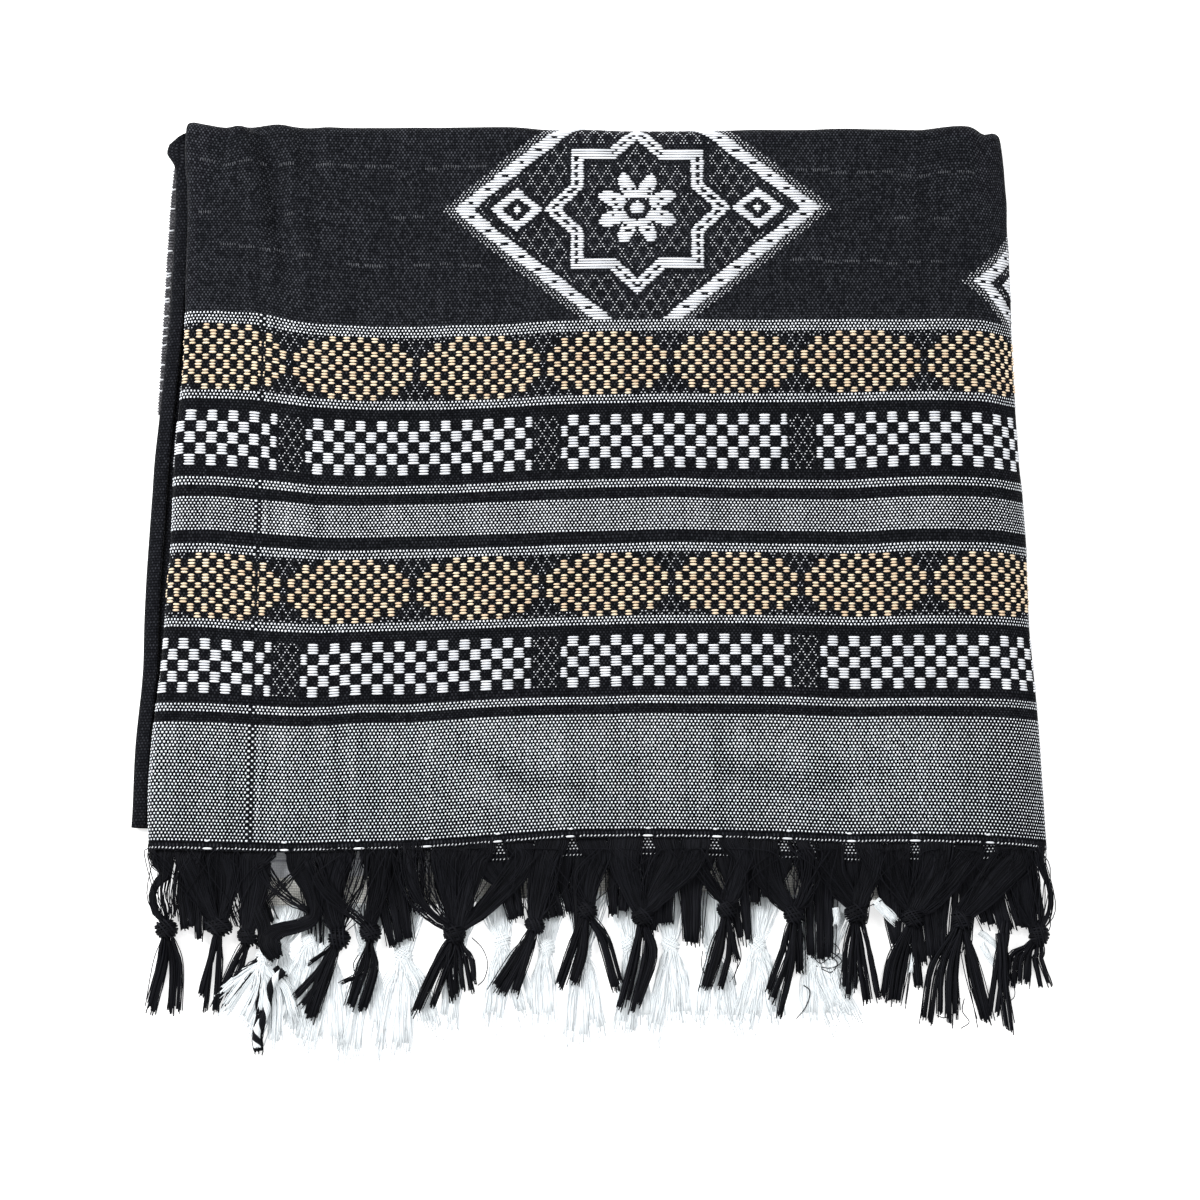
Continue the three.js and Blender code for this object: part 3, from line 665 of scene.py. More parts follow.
def plain_weave(name, gap_shade, thread, light, zones=(), light_share=0.8, uneven=0.9):
    """Plain weave in the cloth's own threads: painted shade between them, painted highlight where
    weft tops.

    A zone is a band from one pick to another with a shade and how much of it is laid on.
    """
    paint = Paint(name, roughness=0.85, sheen=0.12, sheen_roughness=0.22, specular=0.02)
    uv = paint.out("UV", "ShaderNodeUVMap", {"uv_map": "threads"})
    scaling = {"operation": "SCALE"}
    threads = paint.out("Vector", "ShaderNodeVectorMath", scaling, Vector=uv, Scale=1 / THREAD_UV)
    split = paint.node("ShaderNodeSeparateXYZ", Vector=threads)
    end_place, pick_place = (Value(paint, split.outputs[axis]) for axis in "XY")
    drift = paint.noise(170.0)
    end = paint.math("MULTIPLY_ADD", drift, 0.5, end_place)
    pick = paint.math("MULTIPLY_ADD", drift, 0.5, pick_place)
    end_number, pick_number = paint.math("FLOOR", end), paint.math("FLOOR", pick)
    cell = paint.out("Vector", "ShaderNodeCombineXYZ", X=end_number, Y=pick_number)
    chance = paint.out("Value", "ShaderNodeTexWhiteNoise", {"noise_dimensions": "2D"}, Vector=cell)
    parity = paint.math("FRACT", (end_number + pick_number) * 0.5)
    weft = paint.math("LESS_THAN", parity, 0.25)
    across = paint.math("MULTIPLY_ADD", paint.math("FRACT", end), 2.0, -1.0)
    along = paint.math("MULTIPLY_ADD", paint.math("FRACT", pick), 2.0, -1.0)
    across2 = across * across
    along2 = along * along

    def crown(steep, gentle):
        """Height of a thread that is round one way and bends a little the other way."""
        slope = paint.math("MULTIPLY_ADD", gentle, -0.45, 1.0)
        return (1.0 - steep) * slope

    over = crown(along2, across2)
    under = crown(across2, along2)
    height = over * weft + under * (1.0 - weft)
    fibre = paint.noise(2600.0)
    cloud = paint.noise(28.0, 3.0, roughness=0.6)

    def streaks(x, y):
        """Light and dark threads: noise drawn out along the warp or the weft."""
        vector = paint.node("ShaderNodeVectorMath", {"operation": "MULTIPLY"}, Vector=threads)
        vector.inputs[1].default_value = (x, y, 1)
        noise = paint.noise(1.0, vector=Value(paint, vector.outputs["Vector"]))
        return paint.ramp(noise, 0.3, 0.7, -0.25, 0.25)

    tone = streaks(0.16, 0.01) + streaks(0.012, 0.45)
    tone = tone + paint.ramp(cloud, 0.3, 0.7, 0.8, 1.2)
    # Painted highlight on the tops of the weft crossings, at random strength.
    lit = over * weft * (paint.ramp(chance, 0.0, 1.0, 1.0 - uneven, 1.0) * light_share) * tone
    # Painted shade: each thread darkens down its sides towards the gaps between the threads.
    colour = paint.mix(paint.ramp(height, 0.25, 0.85), gap_shade, thread)
    colour = paint.mix(lit, colour, light)
    for start, stop, shade, amount in zones:
        after, before = (
            paint.math(test, pick_place, at)
            for test, at in (("GREATER_THAN", start), ("LESS_THAN", stop))
        )
        colour = paint.mix(after * before * amount, colour, shade)
    relief_height = paint.math("MULTIPLY_ADD", fibre, 0.35, height)
    return paint.finish(colour, Height=relief_height, Distance=0.0003, Strength=0.8)


def yarn(name, dark, pale, roughness=0.75, sheen=0.05, specular=0.2):
    """Spun yarn: fine fibres, and each float or strand a little different."""
    paint = Paint(name, roughness=roughness, sheen=sheen, specular=specular)
    each = paint.out("Random Per Island", "ShaderNodeNewGeometry")
    fibre = paint.noise(2520.0)
    patch = paint.noise(50.4, 3.0)
    amount = each * 0.45 + paint.math("MULTIPLY_ADD", fibre, 0.35, patch * 0.3)
    colour = paint.mix(paint.ramp(amount, 0.2, 0.9), dark, pale)
    return paint.finish(colour, Height=fibre, Distance=0.00008, Strength=0.5)


# Black cloth: painted shade between its threads, the threads themselves, and a painted highlight
# where its weft tops.
BLACK = ((0.0004, 0.0005, 0.0007), (0.0088, 0.0095, 0.0122), (0.071, 0.075, 0.088))
front_paint = plain_weave(
    "Border cloth", *BLACK, zones=[(-3, GROUND_PICK, (0.0016, 0.0018, 0.0024), 0.5)],
)
black_paint = plain_weave("Black cloth", *BLACK, light_share=0.38)
# As for the black cloth: painted shade between the threads, the threads, and a painted highlight
# where the weft tops.
pale_paint = plain_weave(
    "White-warp cloth", (0.36, 0.36, 0.35), (0.82, 0.81, 0.76), (0.95, 0.94, 0.90), uneven=0.4,
    zones=[
        (-18, 2, (0.60, 0.62, 0.68), 0.75), (-7, -5, (0.12, 0.12, 0.16), 0.6),
        (-12, -11, (0.16, 0.16, 0.21), 0.5),
    ],
)
# As for the black cloth: painted shade between the threads, the threads, and a painted highlight
# where the weft tops.
selvedge_paint = plain_weave(
    "Selvedge cloth", (0.008, 0.008, 0.01), (0.05, 0.05, 0.055), (0.30, 0.30, 0.32),
)
white_paint = yarn("White weft", (0.62, 0.64, 0.68), (0.86, 0.88, 0.91))
grey_band_paint = yarn("White weft of the grey bands", (0.80, 0.84, 0.90), (0.93, 0.965, 1.0))
gold_paint = yarn("Gold weft", (0.67, 0.48, 0.31), (0.94, 0.81, 0.60))
slub_paint = yarn("Slub thread", (0.045, 0.047, 0.054), (0.14, 0.145, 0.158), sheen=0.0)
black_yarn = yarn(
    "Black yarn", (0.002, 0.0022, 0.003), (0.010, 0.0105, 0.014), roughness=0.55, specular=0.07,
    sheen=0.0,
)
white_yarn = yarn("White yarn", (0.69, 0.73, 0.75), (0.83, 0.865, 0.885), sheen=0.0)
selvedge_yarn = yarn("Selvedge weft", (0.038, 0.038, 0.042), (0.19, 0.19, 0.205))

# ---- The front panel ------------------------------------------------------------------------


def columns_of(run, y, flat, left, right):
    """Places across a run, in s, from lip to lip, with so many spans on each of its stretches."""
    left_edge, right_edge = (edge_line[c](np.minimum(y, RUN_LENGTH)) for c in run["columns"])
    a, b = left_edge + run["left_roll"], right_edge - run["right_roll"]
    lip_left, lip_right = (
        np.interp(LIP_TURN, run[arc][1], run[arc][0]) for arc in ("left_arc", "right_arc")
    )
    share = np.linspace(0, 1, flat + 1)[1:-1]
    return np.concatenate([
        a[:, None] - lip_left * np.linspace(1, 0, left + 1),
        a[:, None] + (b - a)[:, None] * share,
        b[:, None] + lip_right * np.linspace(0, 1, right + 1),
    ], axis=1)


def rows_between(marks, step):
    """All the marks, and even steps between them."""
    rows = [marks[0]]
    for a, b in zip(marks[:-1], marks[1:]):
        count = max(1, math.ceil((b - a) / step))
        rows += [a + (b - a) * (k + 1) / count for k in range(count)]
    return np.array(rows)


def thread_uv(ends, picks):
    return np.stack([ends, picks], -1) * THREAD_UV


def plain_uv(x, y, pick=PICK):
    return thread_uv(x / END, y / pick)


ROW_STEP, BEND_SPANS = 3.1, 16
band_marks = [BAND_START] + [stop for _, stop, _ in BANDS[1:-1]] + [BEND_START]
bend_rows = BEND_START + BEND_RADIUS * math.pi * np.linspace(0, 1, BEND_SPANS + 1)[1:]
rows = np.concatenate([rows_between(band_marks, ROW_STEP), bend_rows])
across = columns_of(UPPER, rows, flat=146, left=9, right=15)
down = np.broadcast_to(rows[:, None], across.shape)
front = shell(
    "front_panel_cloth", skin(UPPER, across, down), skin(UPPER, across, down, -CLOTH),
    thread_uv(across / END, np.interp(down, pick_edge, np.arange(len(pick_edge)))), front_paint,
)

# Every crossing of a pick and an end: its numbers, its place and what its pick is.
pick, end = np.meshgrid(PICKS, ENDS, indexing="ij")
end_at, down_at = (end + 0.5) * END, pick_at[pick]
kind_at, row_at = pick_kind[pick], pick_row[pick]
shown = on_front(end_at, down_at)
weft_up = (end + pick) % 2 == 0
REED_END = round(-165.2 / END)  # the ends beside this one are doubled all the way up


def grey_bands():
    """The white weft of the grey bands: one raised crossing for every other end.

    Their size differs by stripe, by end and by crossing. It shrinks round the right fold and
    grows a little from the hem up.
    """
    rng = np.random.default_rng(3)
    stripe = np.interp(ENDS, ENDS[::9], rng.normal(0, 1, len(ENDS[::9])))
    fine_stripe = rng.normal(0, 1, len(ENDS))
    in_reed = (end >= REED_END - 2) & (end < REED_END + 2)
    doubled = (end == REED_END - 2) & weft_up | (end == REED_END) & ~weft_up
    grey = (kind_at == "grey") & np.where(in_reed, doubled, weft_up) & shown
    s, d, paired, number = end_at[grey], down_at[grey], in_reed[grey], end[grey] - ENDS[0]
    size = 1 + 0.035 * stripe[number] + 0.03 * fine_stripe[number] + rng.normal(0, 0.05, len(s))
    size = size * (1.0 - 0.2 * smoothstep(s, 150, 214)) * np.interp(d, [0, 48], [0.975, 1.07])
    s = s + np.where(paired, END / 2, 0) + rng.normal(0, 0.05, len(s))
    return stamped(
        "grey_weft", DOT, s, d + rng.normal(0, 0.04, len(s)), np.where(paired, 1.0, 0.68) * size,
        0.5 * size * pick_pitch[pick[grey]], 0.38, grey_band_paint,
    )


def floats(name, mask, seam, material, high, ragged, width, longer=0.0):
    """A float for each run of crossings in a mask, with ragged ends."""
    start, length, row = runs_of(mask, seam)
    count = len(start)
    rng = np.random.default_rng(count)
    change = longer + rng.uniform(-ragged, ragged, count)
    long = length * END / 2 + change * np.where(length > 1, 1, 0.2)
    middle = (ENDS[start] + length / 2) * END + rng.uniform(-ragged, ragged, count) * 0.6
    wide = width * pick_pitch[row] * rng.uniform(0.9, 1.04, count)
    return stamped(
        name, FLOAT, middle, pick_at[row], np.maximum(long, 0.45), wide,
        high * rng.uniform(0.9, 1.1, count), material,
    )


grey_weft = grey_bands()

# The brocaded blocks of the checks and the ovals.
check_end = np.floor((end_at - CHECK_START) / END).astype(int) % CHECK_REPEAT
first = np.where(row_at // CHECK_PICKS % 2 == 0, 4, 4 + CHECK_BLOCK)
in_block = ((check_end - first) % CHECK_PERIOD < CHECK_BLOCK) & (check_end < CHECK_GROUP)
check = (kind_at == "check") & in_block & shown
oval_end = np.floor((end_at - OVAL_START) / END).astype(int) % OVAL_ENDS
blocks = np.repeat(OVAL_BLOCKS, OVAL_PICKS)[np.minimum(row_at, sum(OVAL_PICKS) - 1)]
from_middle = oval_end - OVAL_ENDS / 2 + 0.5
half_period = OVAL_PERIOD / 2
phase = np.where(blocks % 2 == 1, 0, half_period)
from_block = (from_middle + phase + half_period) % OVAL_PERIOD - half_period
near_block = np.abs(from_block) < OVAL_BLOCK / 2
in_oval = np.abs(from_middle) < blocks * half_period - 1.9
gold = (kind_at == "gold") & near_block & in_oval & shown
at_reed = end == REED_END
check_weft = floats(
    "check_weft", check, at_reed, white_paint, high=0.62, ragged=0.2, width=0.47, longer=0.14,
)
gold_weft = floats(
    "gold_weft", gold, at_reed, gold_paint, high=0.62, ragged=0.18, width=0.45, longer=0.1,
)

# The woven motifs, each a lozenge with a frame, a halo round it and a diapered ground. Inside are
# an eight-pointed star with a rosette, and a small diamond on both sides of the star.
MOTIFS = [(18.5, 315.0), (274.0, 276.0)]
LOZENGE_WIDE, LOZENGE_TALL = 91.0, 78.0
FRAME_INSIDE, FRAME_SEAM, HALO_OUTSIDE, GROUND_OUTSIDE = 0.885, 0.945, 1.062, 0.865
STAR, STAR_BAND, STAR_SEAM, STAR_MARGIN = 33.0, 6.5, 0.45, 2.2
PETAL_WAIST, PETAL_LENGTH, PETAL_SEAM, EYE_RING, EYE = 10, 10.5, 0.62, 6.2, 3.6
DIAMOND_PLACE, DIAMOND_WIDE, DIAMOND_TALL = 59.5, 13.5, 11.5
DIAMOND_RING, DIAMOND_EYE, DIAMOND_MARGIN = 0.52, 0.22, 1.25


def motif_masks(cx, cy):
    """Where a motif has floats, the seams between them, its halo and its diapered ground."""
    x, y = end_at - cx, down_at - cy
    lozenge = np.abs(x) / LOZENGE_WIDE + np.abs(y) / LOZENGE_TALL
    square = np.maximum(np.abs(x), np.abs(y))
    turned = (np.abs(x) + np.abs(y)) / math.sqrt(2)
    star = np.minimum(square, turned)
    radius, angle = np.hypot(x, y), np.arctan2(y, x)
    petal = PETAL_WAIST + PETAL_LENGTH * np.abs(np.cos(4 * angle + math.pi / 2))
    rosette = (radius < petal) & (radius > EYE_RING) | (radius < EYE)
    beside = np.abs(np.abs(x) - DIAMOND_PLACE) / DIAMOND_WIDE + np.abs(y) / DIAMOND_TALL
    diamond = (beside < 1) & ((beside > DIAMOND_RING) | (beside < DIAMOND_EYE))
    lozenge_frame = (lozenge < 1) & (lozenge > FRAME_INSIDE)
    star_line = (star < STAR) & (star > STAR - STAR_BAND)
    solid = lozenge_frame | star_line | rosette | diamond
    seam = star_line & (np.abs(star - STAR + STAR_BAND / 2) < STAR_SEAM) & (pick % 3 != 0)
    seam |= (radius < petal) & (np.abs(radius - petal * PETAL_SEAM) < 0.5) & (pick % 2 == 0)
    seam |= lozenge_frame & (np.abs(lozenge - FRAME_SEAM) < 0.012) & (pick % 5 == 0)
    halo = (lozenge >= 1.0) & (lozenge < HALO_OUTSIDE) & weft_up
    outer = (lozenge < GROUND_OUTSIDE) & (star > STAR + STAR_MARGIN) & (beside >= DIAMOND_MARGIN)
    inner = (star < STAR - STAR_BAND - 2.0) & (radius > petal + STAR_MARGIN)
    return solid, seam, halo, outer | inner


on_ground = (kind_at == "ground") & shown & (down_at < BEND_START + 18)
motif, motif_seam, halo, motif_ground = (
    np.any(masks, axis=0) & on_ground for masks in zip(*(motif_masks(*place) for place in MOTIFS))
)
motif_weft = floats(
    "motif_weft", motif, motif_seam, white_paint, high=0.6, ragged=0.3, width=0.5,
)


def stippling():
    """Single crossings: between the blocks, in the motifs' ground and, larger, in their halo."""
    spacer = (kind_at == "check") & (check_end > CHECK_GROUP) & (check_end < CHECK_REPEAT - 1)
    spacer |= (kind_at == "gold") & (np.abs(from_middle) > blocks * half_period + 0.5)
    spacer &= charted(STIPPLE, end, pick) & shown
    small = spacer | motif_ground & charted(DIAPER, end, pick) | halo
    rng = np.random.default_rng(5)
    s, d, large = end_at[small], down_at[small], halo[small]
    return stamped(
        "stipple_weft", DOT, s + rng.normal(0, 0.06, len(s)), d,
        np.where(large, 0.6, 0.55) * rng.uniform(0.8, 1.15, len(s)), np.where(large, 0.5, 0.45),
        0.42, white_paint,
    )


stipple_weft = stippling()

# The hem: a twined row of fine slanted stitches, with long stitches at each bundle's edge.
GAPS = np.array([-184, -148, -113, -81.5, -48, -14, 22.5, 55, 88, 118, 148, 183.0])
GAP_CLEAR = 3.2
HEM_STITCHES, STITCH_TURN = (-217, 216), (0.95, 0.12)
LONG_STITCHES = ((0.0, 2.5, 0.55), (3.4, 1.35, 0.5))  # up from the hem, half length, half width
rng = np.random.default_rng(9)
s = np.arange(*HEM_STITCHES, 2 * END)
s = s[np.abs(s[:, None] - GAPS).min(1) > GAP_CLEAR]
hem_stitches = stamped(
    "hem_stitches", DOT, s, 0.1 + rng.normal(0, 0.1, len(s)), 0.82, 0.42, 0.55, white_paint,
    slant=rng.normal(*STITCH_TURN, len(s)),
)
s = np.concatenate([GAPS, GAPS + rng.uniform(-1, 1, len(GAPS))])
d, long, wide = np.repeat(LONG_STITCHES, len(GAPS), axis=0).T
hem_dashes = stamped(
    "hem_dashes", FLOAT, s, d, long * rng.uniform(0.85, 1.15, len(s)), wide, 0.7, white_paint,
)

# Slubs in the black ground: short rows of warp ticks, and the share of each line that has them.
SLUB_LINES = [
    ([(-200, 338), (-60, 337), (60, 336), (196, 333)], 0.78),
    ([(-200, 311), (-70, 311), (120, 311.5), (196, 309)], 0.5),
    ([(-200, 294), (-147, 290), (-110, 286), (-60, 287), (70, 288), (196, 285)], 0.85),
]
SLUB_START, SLUB_STOP, TICK = -198.0, 196, 1.15


def motif_clear(s, line):
    """True where a line of slubs is clear of the motifs."""
    d = np.interp(s, *zip(*line))
    return all(abs(s - x) / LOZENGE_WIDE + abs(d - y) / LOZENGE_TALL > 1.13 for x, y in MOTIFS)


def slubs():
    rng = np.random.default_rng(17)
    ticks = []
    for line, share in SLUB_LINES:
        s = SLUB_START
        while s < SLUB_STOP:
            count = rng.integers(5, 9)
            if rng.uniform() < share and motif_clear(s + count * TICK / 2, line):
                d = np.interp(s, *zip(*line)) + rng.choice([-0.7, 0, 0.7])
                ticks += [(s + k * TICK, d) for k in range(count)]
            s += TICK * (count + rng.integers(1, 5))
    s, d = np.array(ticks).T
    s = s + rng.normal(0, 0.07, len(s))
    d = d + rng.normal(0, 0.12, len(d))
    return stamped(
        "slub_ticks", FLOAT, s, d, rng.uniform(0.85, 1.3, len(s)), 0.24, 0.3, slub_paint,
        slant=math.pi / 2,
    )


front_extras = [
    grey_weft, check_weft, gold_weft, motif_weft, stipple_weft, hem_stitches, hem_dashes, slubs(),
]

# ---- The back panel and the plies between ---------------------------------------------------

EAR_START, LOWER_STOP = 318, BEND_START - 1.4  # stretch where the upper left corner is drawn out
# How far up it is drawn, across.
EAR_RISE = np.array([
    (-216, -3.9), (-213.6, -2.7), (-211.8, -1.3), (-209.7, 0.7), (-207.3, 3.4), (-205, 5.0),
])
rows = rows_between([LOWER_START, EAR_START], 6)
rows = np.concatenate([rows[:-1], rows_between([EAR_START, LOWER_STOP], 2.4)])
across = columns_of(LOWER, rows, flat=50, left=15, right=9)
down = np.broadcast_to(rows[:, None], across.shape)


def with_ear(places):
    """Draws the left fold's upper corner out, and its lip up beneath the front panel's corner."""
    x, y, z = places[..., 0], places[..., 1], places[..., 2]
    # The corner: the upper half of the fold, and more and more of it towards the top.
    upper = smoothstep(z, 0.2, 2.0) * smoothstep(-x, 195, 200)
    late = upper * smoothstep(down, EAR_START, LOWER_STOP) ** 2
    up = np.interp(x, *EAR_RISE.T)
    out = -1.8 * np.exp(-(((down - 346.5) / 4.6) ** 2)) * smoothstep(-x, 206, 213)
    lip = 3.2 * smoothstep(x, -210.5, -206.0) * smoothstep(down, 322, 340)
    raised = 0.9 * late * smoothstep(-x, 205.5, 210)
    # Lower down the fold hangs a little slack, and its edge waves.
    slack = -1.6 + 0.45 * np.sin(down / 11) * smoothstep(-down, -150, -60)
    slack = slack * smoothstep(-x, 196, 211) * (1 - smoothstep(down, 185, 225))
    return np.stack([x + slack + upper * (out + lip), y + late * up, z + raised], -1)


back = shell(
    "back_panel_cloth", with_ear(skin(LOWER, across, down, -0.02)),
    with_ear(skin(LOWER, across, down, -CLOTH)), plain_uv(across, down), black_paint,
)

# Inner plies: where they start and stop, their height, the run whose edges they follow and how
# far in from its left and right edge they lie.
PLIES = [
    (34, 348, 11.4, UPPER, 3.2, 3.2),
    (3, 347, 10.1, UPPER, 2.4, 2.4),
    (12, 349, 6.7, UPPER, 1.2, 3.5),
    (12, 348, 3.3, LOWER, 2.6, 2.6),
    (14, 346, 1.7, LOWER, 3.6, 3.6),
]


def inner_ply(number, start, stop, low, run, in_left, in_right):
    """A ply 1 mm thick, thinner at its edges, whose edges wander a little."""
    rng = np.random.default_rng(number)
    count = 70 if number == 0 else 40
    y = np.linspace(start, stop, count)
    bends = np.linspace(0, RUN_LENGTH, 13)
    wander = [np.abs(np.interp(y, bends, rng.normal(0, 0.5, len(bends)))) for _ in range(2)]
    left, right = (edge_line[c](y) for c in run["columns"])
    left, right = left + in_left + wander[0], right - in_right - wander[1]
    share = np.linspace(0, 1, count)
    x = left[:, None] + (right - left)[:, None] * share
    y = np.broadcast_to(y[:, None], x.shape)
    half = 0.5 * (0.35 + 0.65 * np.minimum(1, np.minimum(share, 1 - share) * 60))
    faces = tucked(lay(x, y, low + 0.5 + half), lay(x, y, low + 0.5 - half), number)
    return shell(f"inner_ply_{number + 1}", *faces, plain_uv(x, y), black_paint)


plies = [inner_ply(number, *ply) for number, ply in enumerate(PLIES)]

# ---- The second end, the white-warp ply and the selvedge ------------------------------------

SECOND_LEFT, SECOND_RIGHT, SECOND_HEIGHT = -203, 190, STACK_HEIGHT - 1.9
# How far out the second end's hem lies, across.
SECOND_OUT = [(-204, -2), (-95, -2), (-70, 3), (-55, 8.4), (150, 8.4), (175, 7.6), (192, 6)]
second_out = smooth_line(*np.array(SECOND_OUT).T, 6)


def second_skin(s, d, lift=0.0):
    """Places on the second end, with d up from its own hem."""
    s, d, lift = np.broadcast_arrays(*map(np.asarray, (s, d, lift)))
    y = d - second_out(s)
    face = lay(s, y, SECOND_HEIGHT - 0.12 * np.maximum(0, -y))
    face[..., 2] = tucked(face, face, 0)[0][..., 2] + lift
    return face


def second_end_weft():
    """Six rows of crossings, and the slanted stitches of the hem."""
    rng = np.random.default_rng(21)
    here = np.arange(SECOND_LEFT, SECOND_RIGHT, 2 * END)
    rows = [(row % 2 * END, 3.0 + row * PICK, 0.64, 0.5) for row in range(6)]
    rows.append((0, 0.1, 0.72, 0.34))
    shift, d, long, wide = np.repeat(rows, len(here), axis=0).T
    slant = np.zeros(len(d))
    slant[-len(here):] = rng.normal(*STITCH_TURN, len(here))
    s = np.tile(here, len(rows)) + shift + rng.normal(0, 0.06, len(d))
    return stamped(
        "second_end_weft", DOT, s, d, long, wide, 0.45, white_paint, slant=slant,
        place=second_skin,
    )


x, d = np.meshgrid(np.linspace(SECOND_LEFT, SECOND_RIGHT, 100), np.linspace(-1.0, 30, 14))
second = shell(
    "second_end_cloth", second_skin(x, d), second_skin(x, d, -CLOTH), plain_uv(x, d), front_paint,
)
second_weft = second_end_weft()

# out from the hem line, height of the white-warp ply's upper face
WHITE_PROFILE = np.array([
    (-10, 6.0), (-2, 5.7), (4, 5.1), (10, 3.8), (15, 2.4), (20, 1.4), (26, 1.15),
])
WHITE_LEFT, WHITE_RIGHT, WHITE_OUT, WHITE_DEPTH, WHITE_PICK = -163.0, 150.0, 26.0, 36, 1.2


def white_skin(s, d, lift=0.0):
    """Places on the white-warp ply, with d up from its own hem."""
    out = WHITE_OUT - d
    z = np.interp(out, *WHITE_PROFILE.T)
    return np.stack([s, hem_wave(s) - out, np.maximum(z + lift, 0.05)], -1)


x, d = np.meshgrid(np.linspace(WHITE_LEFT, WHITE_RIGHT, 110), np.linspace(0, WHITE_DEPTH, 20))
white_end = shell(
    "white_end_cloth", white_skin(x, d), white_skin(x, d, -0.9),
    plain_uv(x, -(WHITE_DEPTH - d), WHITE_PICK), pale_paint,
)

# y, x of the selvedge's outer edge
SELVEDGE = np.array([
    (216, -216.6), (222, -216.3), (240, -216.0), (265, -215.4), (300, -214.7), (322, -214.0),
    (338, -212.9),
])
SELVEDGE_WIDTH = 6.4
# The weft comes back round the edge in loops, and some of them are white.
LOOP_ALONG = np.array([0, 0.2, 0.5, 0.8, 1.0])
LOOP_START, LOOP_STOP, LOOP_PITCH = 217.5, 337, 1.45
WHITE_LOOPS = (7, 11, 16, 23, 26, 29, 33, 38, 39, 43, 47, 48, 56, 63, 70, 76)
selvedge_edge = smooth_line(*SELVEDGE.T, 3)
y = np.linspace(SELVEDGE[0, 0], SELVEDGE[-1, 0], 60)[:, None]
share = np.linspace(0, 1, 6)
x, y = np.broadcast_arrays(selvedge_edge(y) + SELVEDGE_WIDTH * share, y)
z = 1.0 - 0.35 * share + 0.1 * np.sin(y / 5)
selvedge = shell(
    "selvedge_cloth", lay(x, y, z), lay(x, y, 0 * z + 0.03), plain_uv(x, y), selvedge_paint,
)
y = np.arange(LOOP_START, LOOP_STOP, LOOP_PITCH)
jitter = np.random.default_rng(23).normal(0, 0.12, (len(LOOP_ALONG), len(y))).T
loops = lay(
    selvedge_edge(y)[:, None] - 0.5 + 2.9 * LOOP_ALONG, y[:, None] + 0.5 * LOOP_ALONG + jitter,
    1.15 - np.abs(LOOP_ALONG - 0.35) * 0.9,
)
white = np.isin(np.arange(len(y)), WHITE_LOOPS)
selvedge_picks = joined("selvedge_picks", [tube_parts(loops[~white], 0.34, 6)], selvedge_yarn)
selvedge_loops = joined("selvedge_loops", [tube_parts(loops[white], 0.5, 6)], white_paint)

# ---- Fringes --------------------------------------------------------------------------------


def flowing(points, t):
    """Places along a smooth line through a few points, running straight on past its end."""
    points = np.array(points, float)
    points = np.concatenate([points, [2 * points[-1] - points[-2]]])
    fine = through(points[None], 24 * (len(points) - 1) + 1)[0]
    at = np.linspace(0, (len(points) - 1) / (len(points) - 2), len(fine))
    return np.stack([np.interp(t, at, fine[:, k]) for k in range(3)], -1)


def beside_line(points, t):
    """Places along a smooth line, and the level direction beside each."""
    middle = flowing(points, t)
    ahead = flowing(points, np.asarray(t) + 0.01) - middle
    heading = np.arctan2(ahead[..., 1], ahead[..., 0])
    return middle, np.stack([np.sin(heading), -np.cos(heading), 0 * heading], -1)


def swaying(t, strands, loose, rng):
    """How far each strand sways from its place: a slow wave and a smaller quick one."""
    each = (strands, 1)
    slow, quick = (
        np.sin(2 * math.pi * (t * rng.uniform(*turns, each) + rng.uniform(0, 1, each)))
        for turns in ((0.8, 2.2), (4, 7))
    )
    return loose * smoothstep(t, 0, 0.15) * (slow + 0.35 * quick)


CORE_ROWS, CORE_SIDES = 11, 10


def core_parts(points, reach, half, thick, base):
    """The heart of a rope, which closes the gaps between its strands."""
    middle, beside = beside_line(points, reach)
    turn = np.linspace(0, 2 * math.pi, CORE_SIDES + 1)[:-1]
    ring = middle[:, None] + beside[:, None] * (half[:, None] * np.cos(turn))[..., None]
    ring[..., 2] = np.maximum(ring[..., 2] + thick[:, None] * np.sin(turn), base + 0.03)
    return ring.reshape(-1, 3), *ring_faces(CORE_ROWS, CORE_SIDES)


def rope(points, wide, high, strands, radius, rng, base=0.0, rings=13, ragged=0.7, loose=0.2,
         under=0.3, core=1.0, square=2.0):
    """Strands of yarn laid over a core, as wide and high as given along a line of points.

    Nothing goes below the height base. The strands end up to about ragged apart and sway by loose.
    A share of them, under, lies beneath. The core has the share core of the width, and square
    makes the rope's top flatter.
    """
    at = np.linspace(0, 1, len(wide))
    length = np.linalg.norm(np.diff(np.array(points, float), axis=0), axis=1).sum()
    t = np.linspace(0, 1, rings)[None] * (1 + rng.normal(0, ragged / length, (strands, 1)))
    middle, beside = beside_line(points, t)
    half, thick = np.interp(t, at, wide) / 2, np.interp(t, at, high) / 2
    top = strands - int(strands * under)
    u = np.concatenate([np.linspace(-1, 1, top), np.linspace(-0.9, 0.9, strands - top)])
    u = np.clip(u + rng.normal(0, 0.5 / strands, strands), -1, 1)[:, None]
    sign = np.concatenate([np.ones(top), -np.ones(strands - top)])[:, None]
    sway, heave = [swaying(t, strands, loose, rng) for _ in range(2)]
    side = u * half + sway
    rise = sign * (1 - np.abs(u) ** square) ** (1 / square) * thick + heave * 0.6
    lines = middle + beside * side[..., None]
    lines[..., 2] = np.maximum(middle[..., 2] + rise, base + radius)
    parts = [tube_parts(lines, radius, 4)]
    if core:
        reach = np.linspace(0.0, 1 - 0.9 * ragged / length, CORE_ROWS)
        half = np.maximum((np.interp(reach, at, wide) / 2 - radius) * core, 0.25)
        thick = (np.interp(reach, at, high) / 2 - radius * 0.4) * min(1, core + 0.3)
        parts.append(core_parts(points, reach, half, np.maximum(thick, 0.22), base))
    return parts


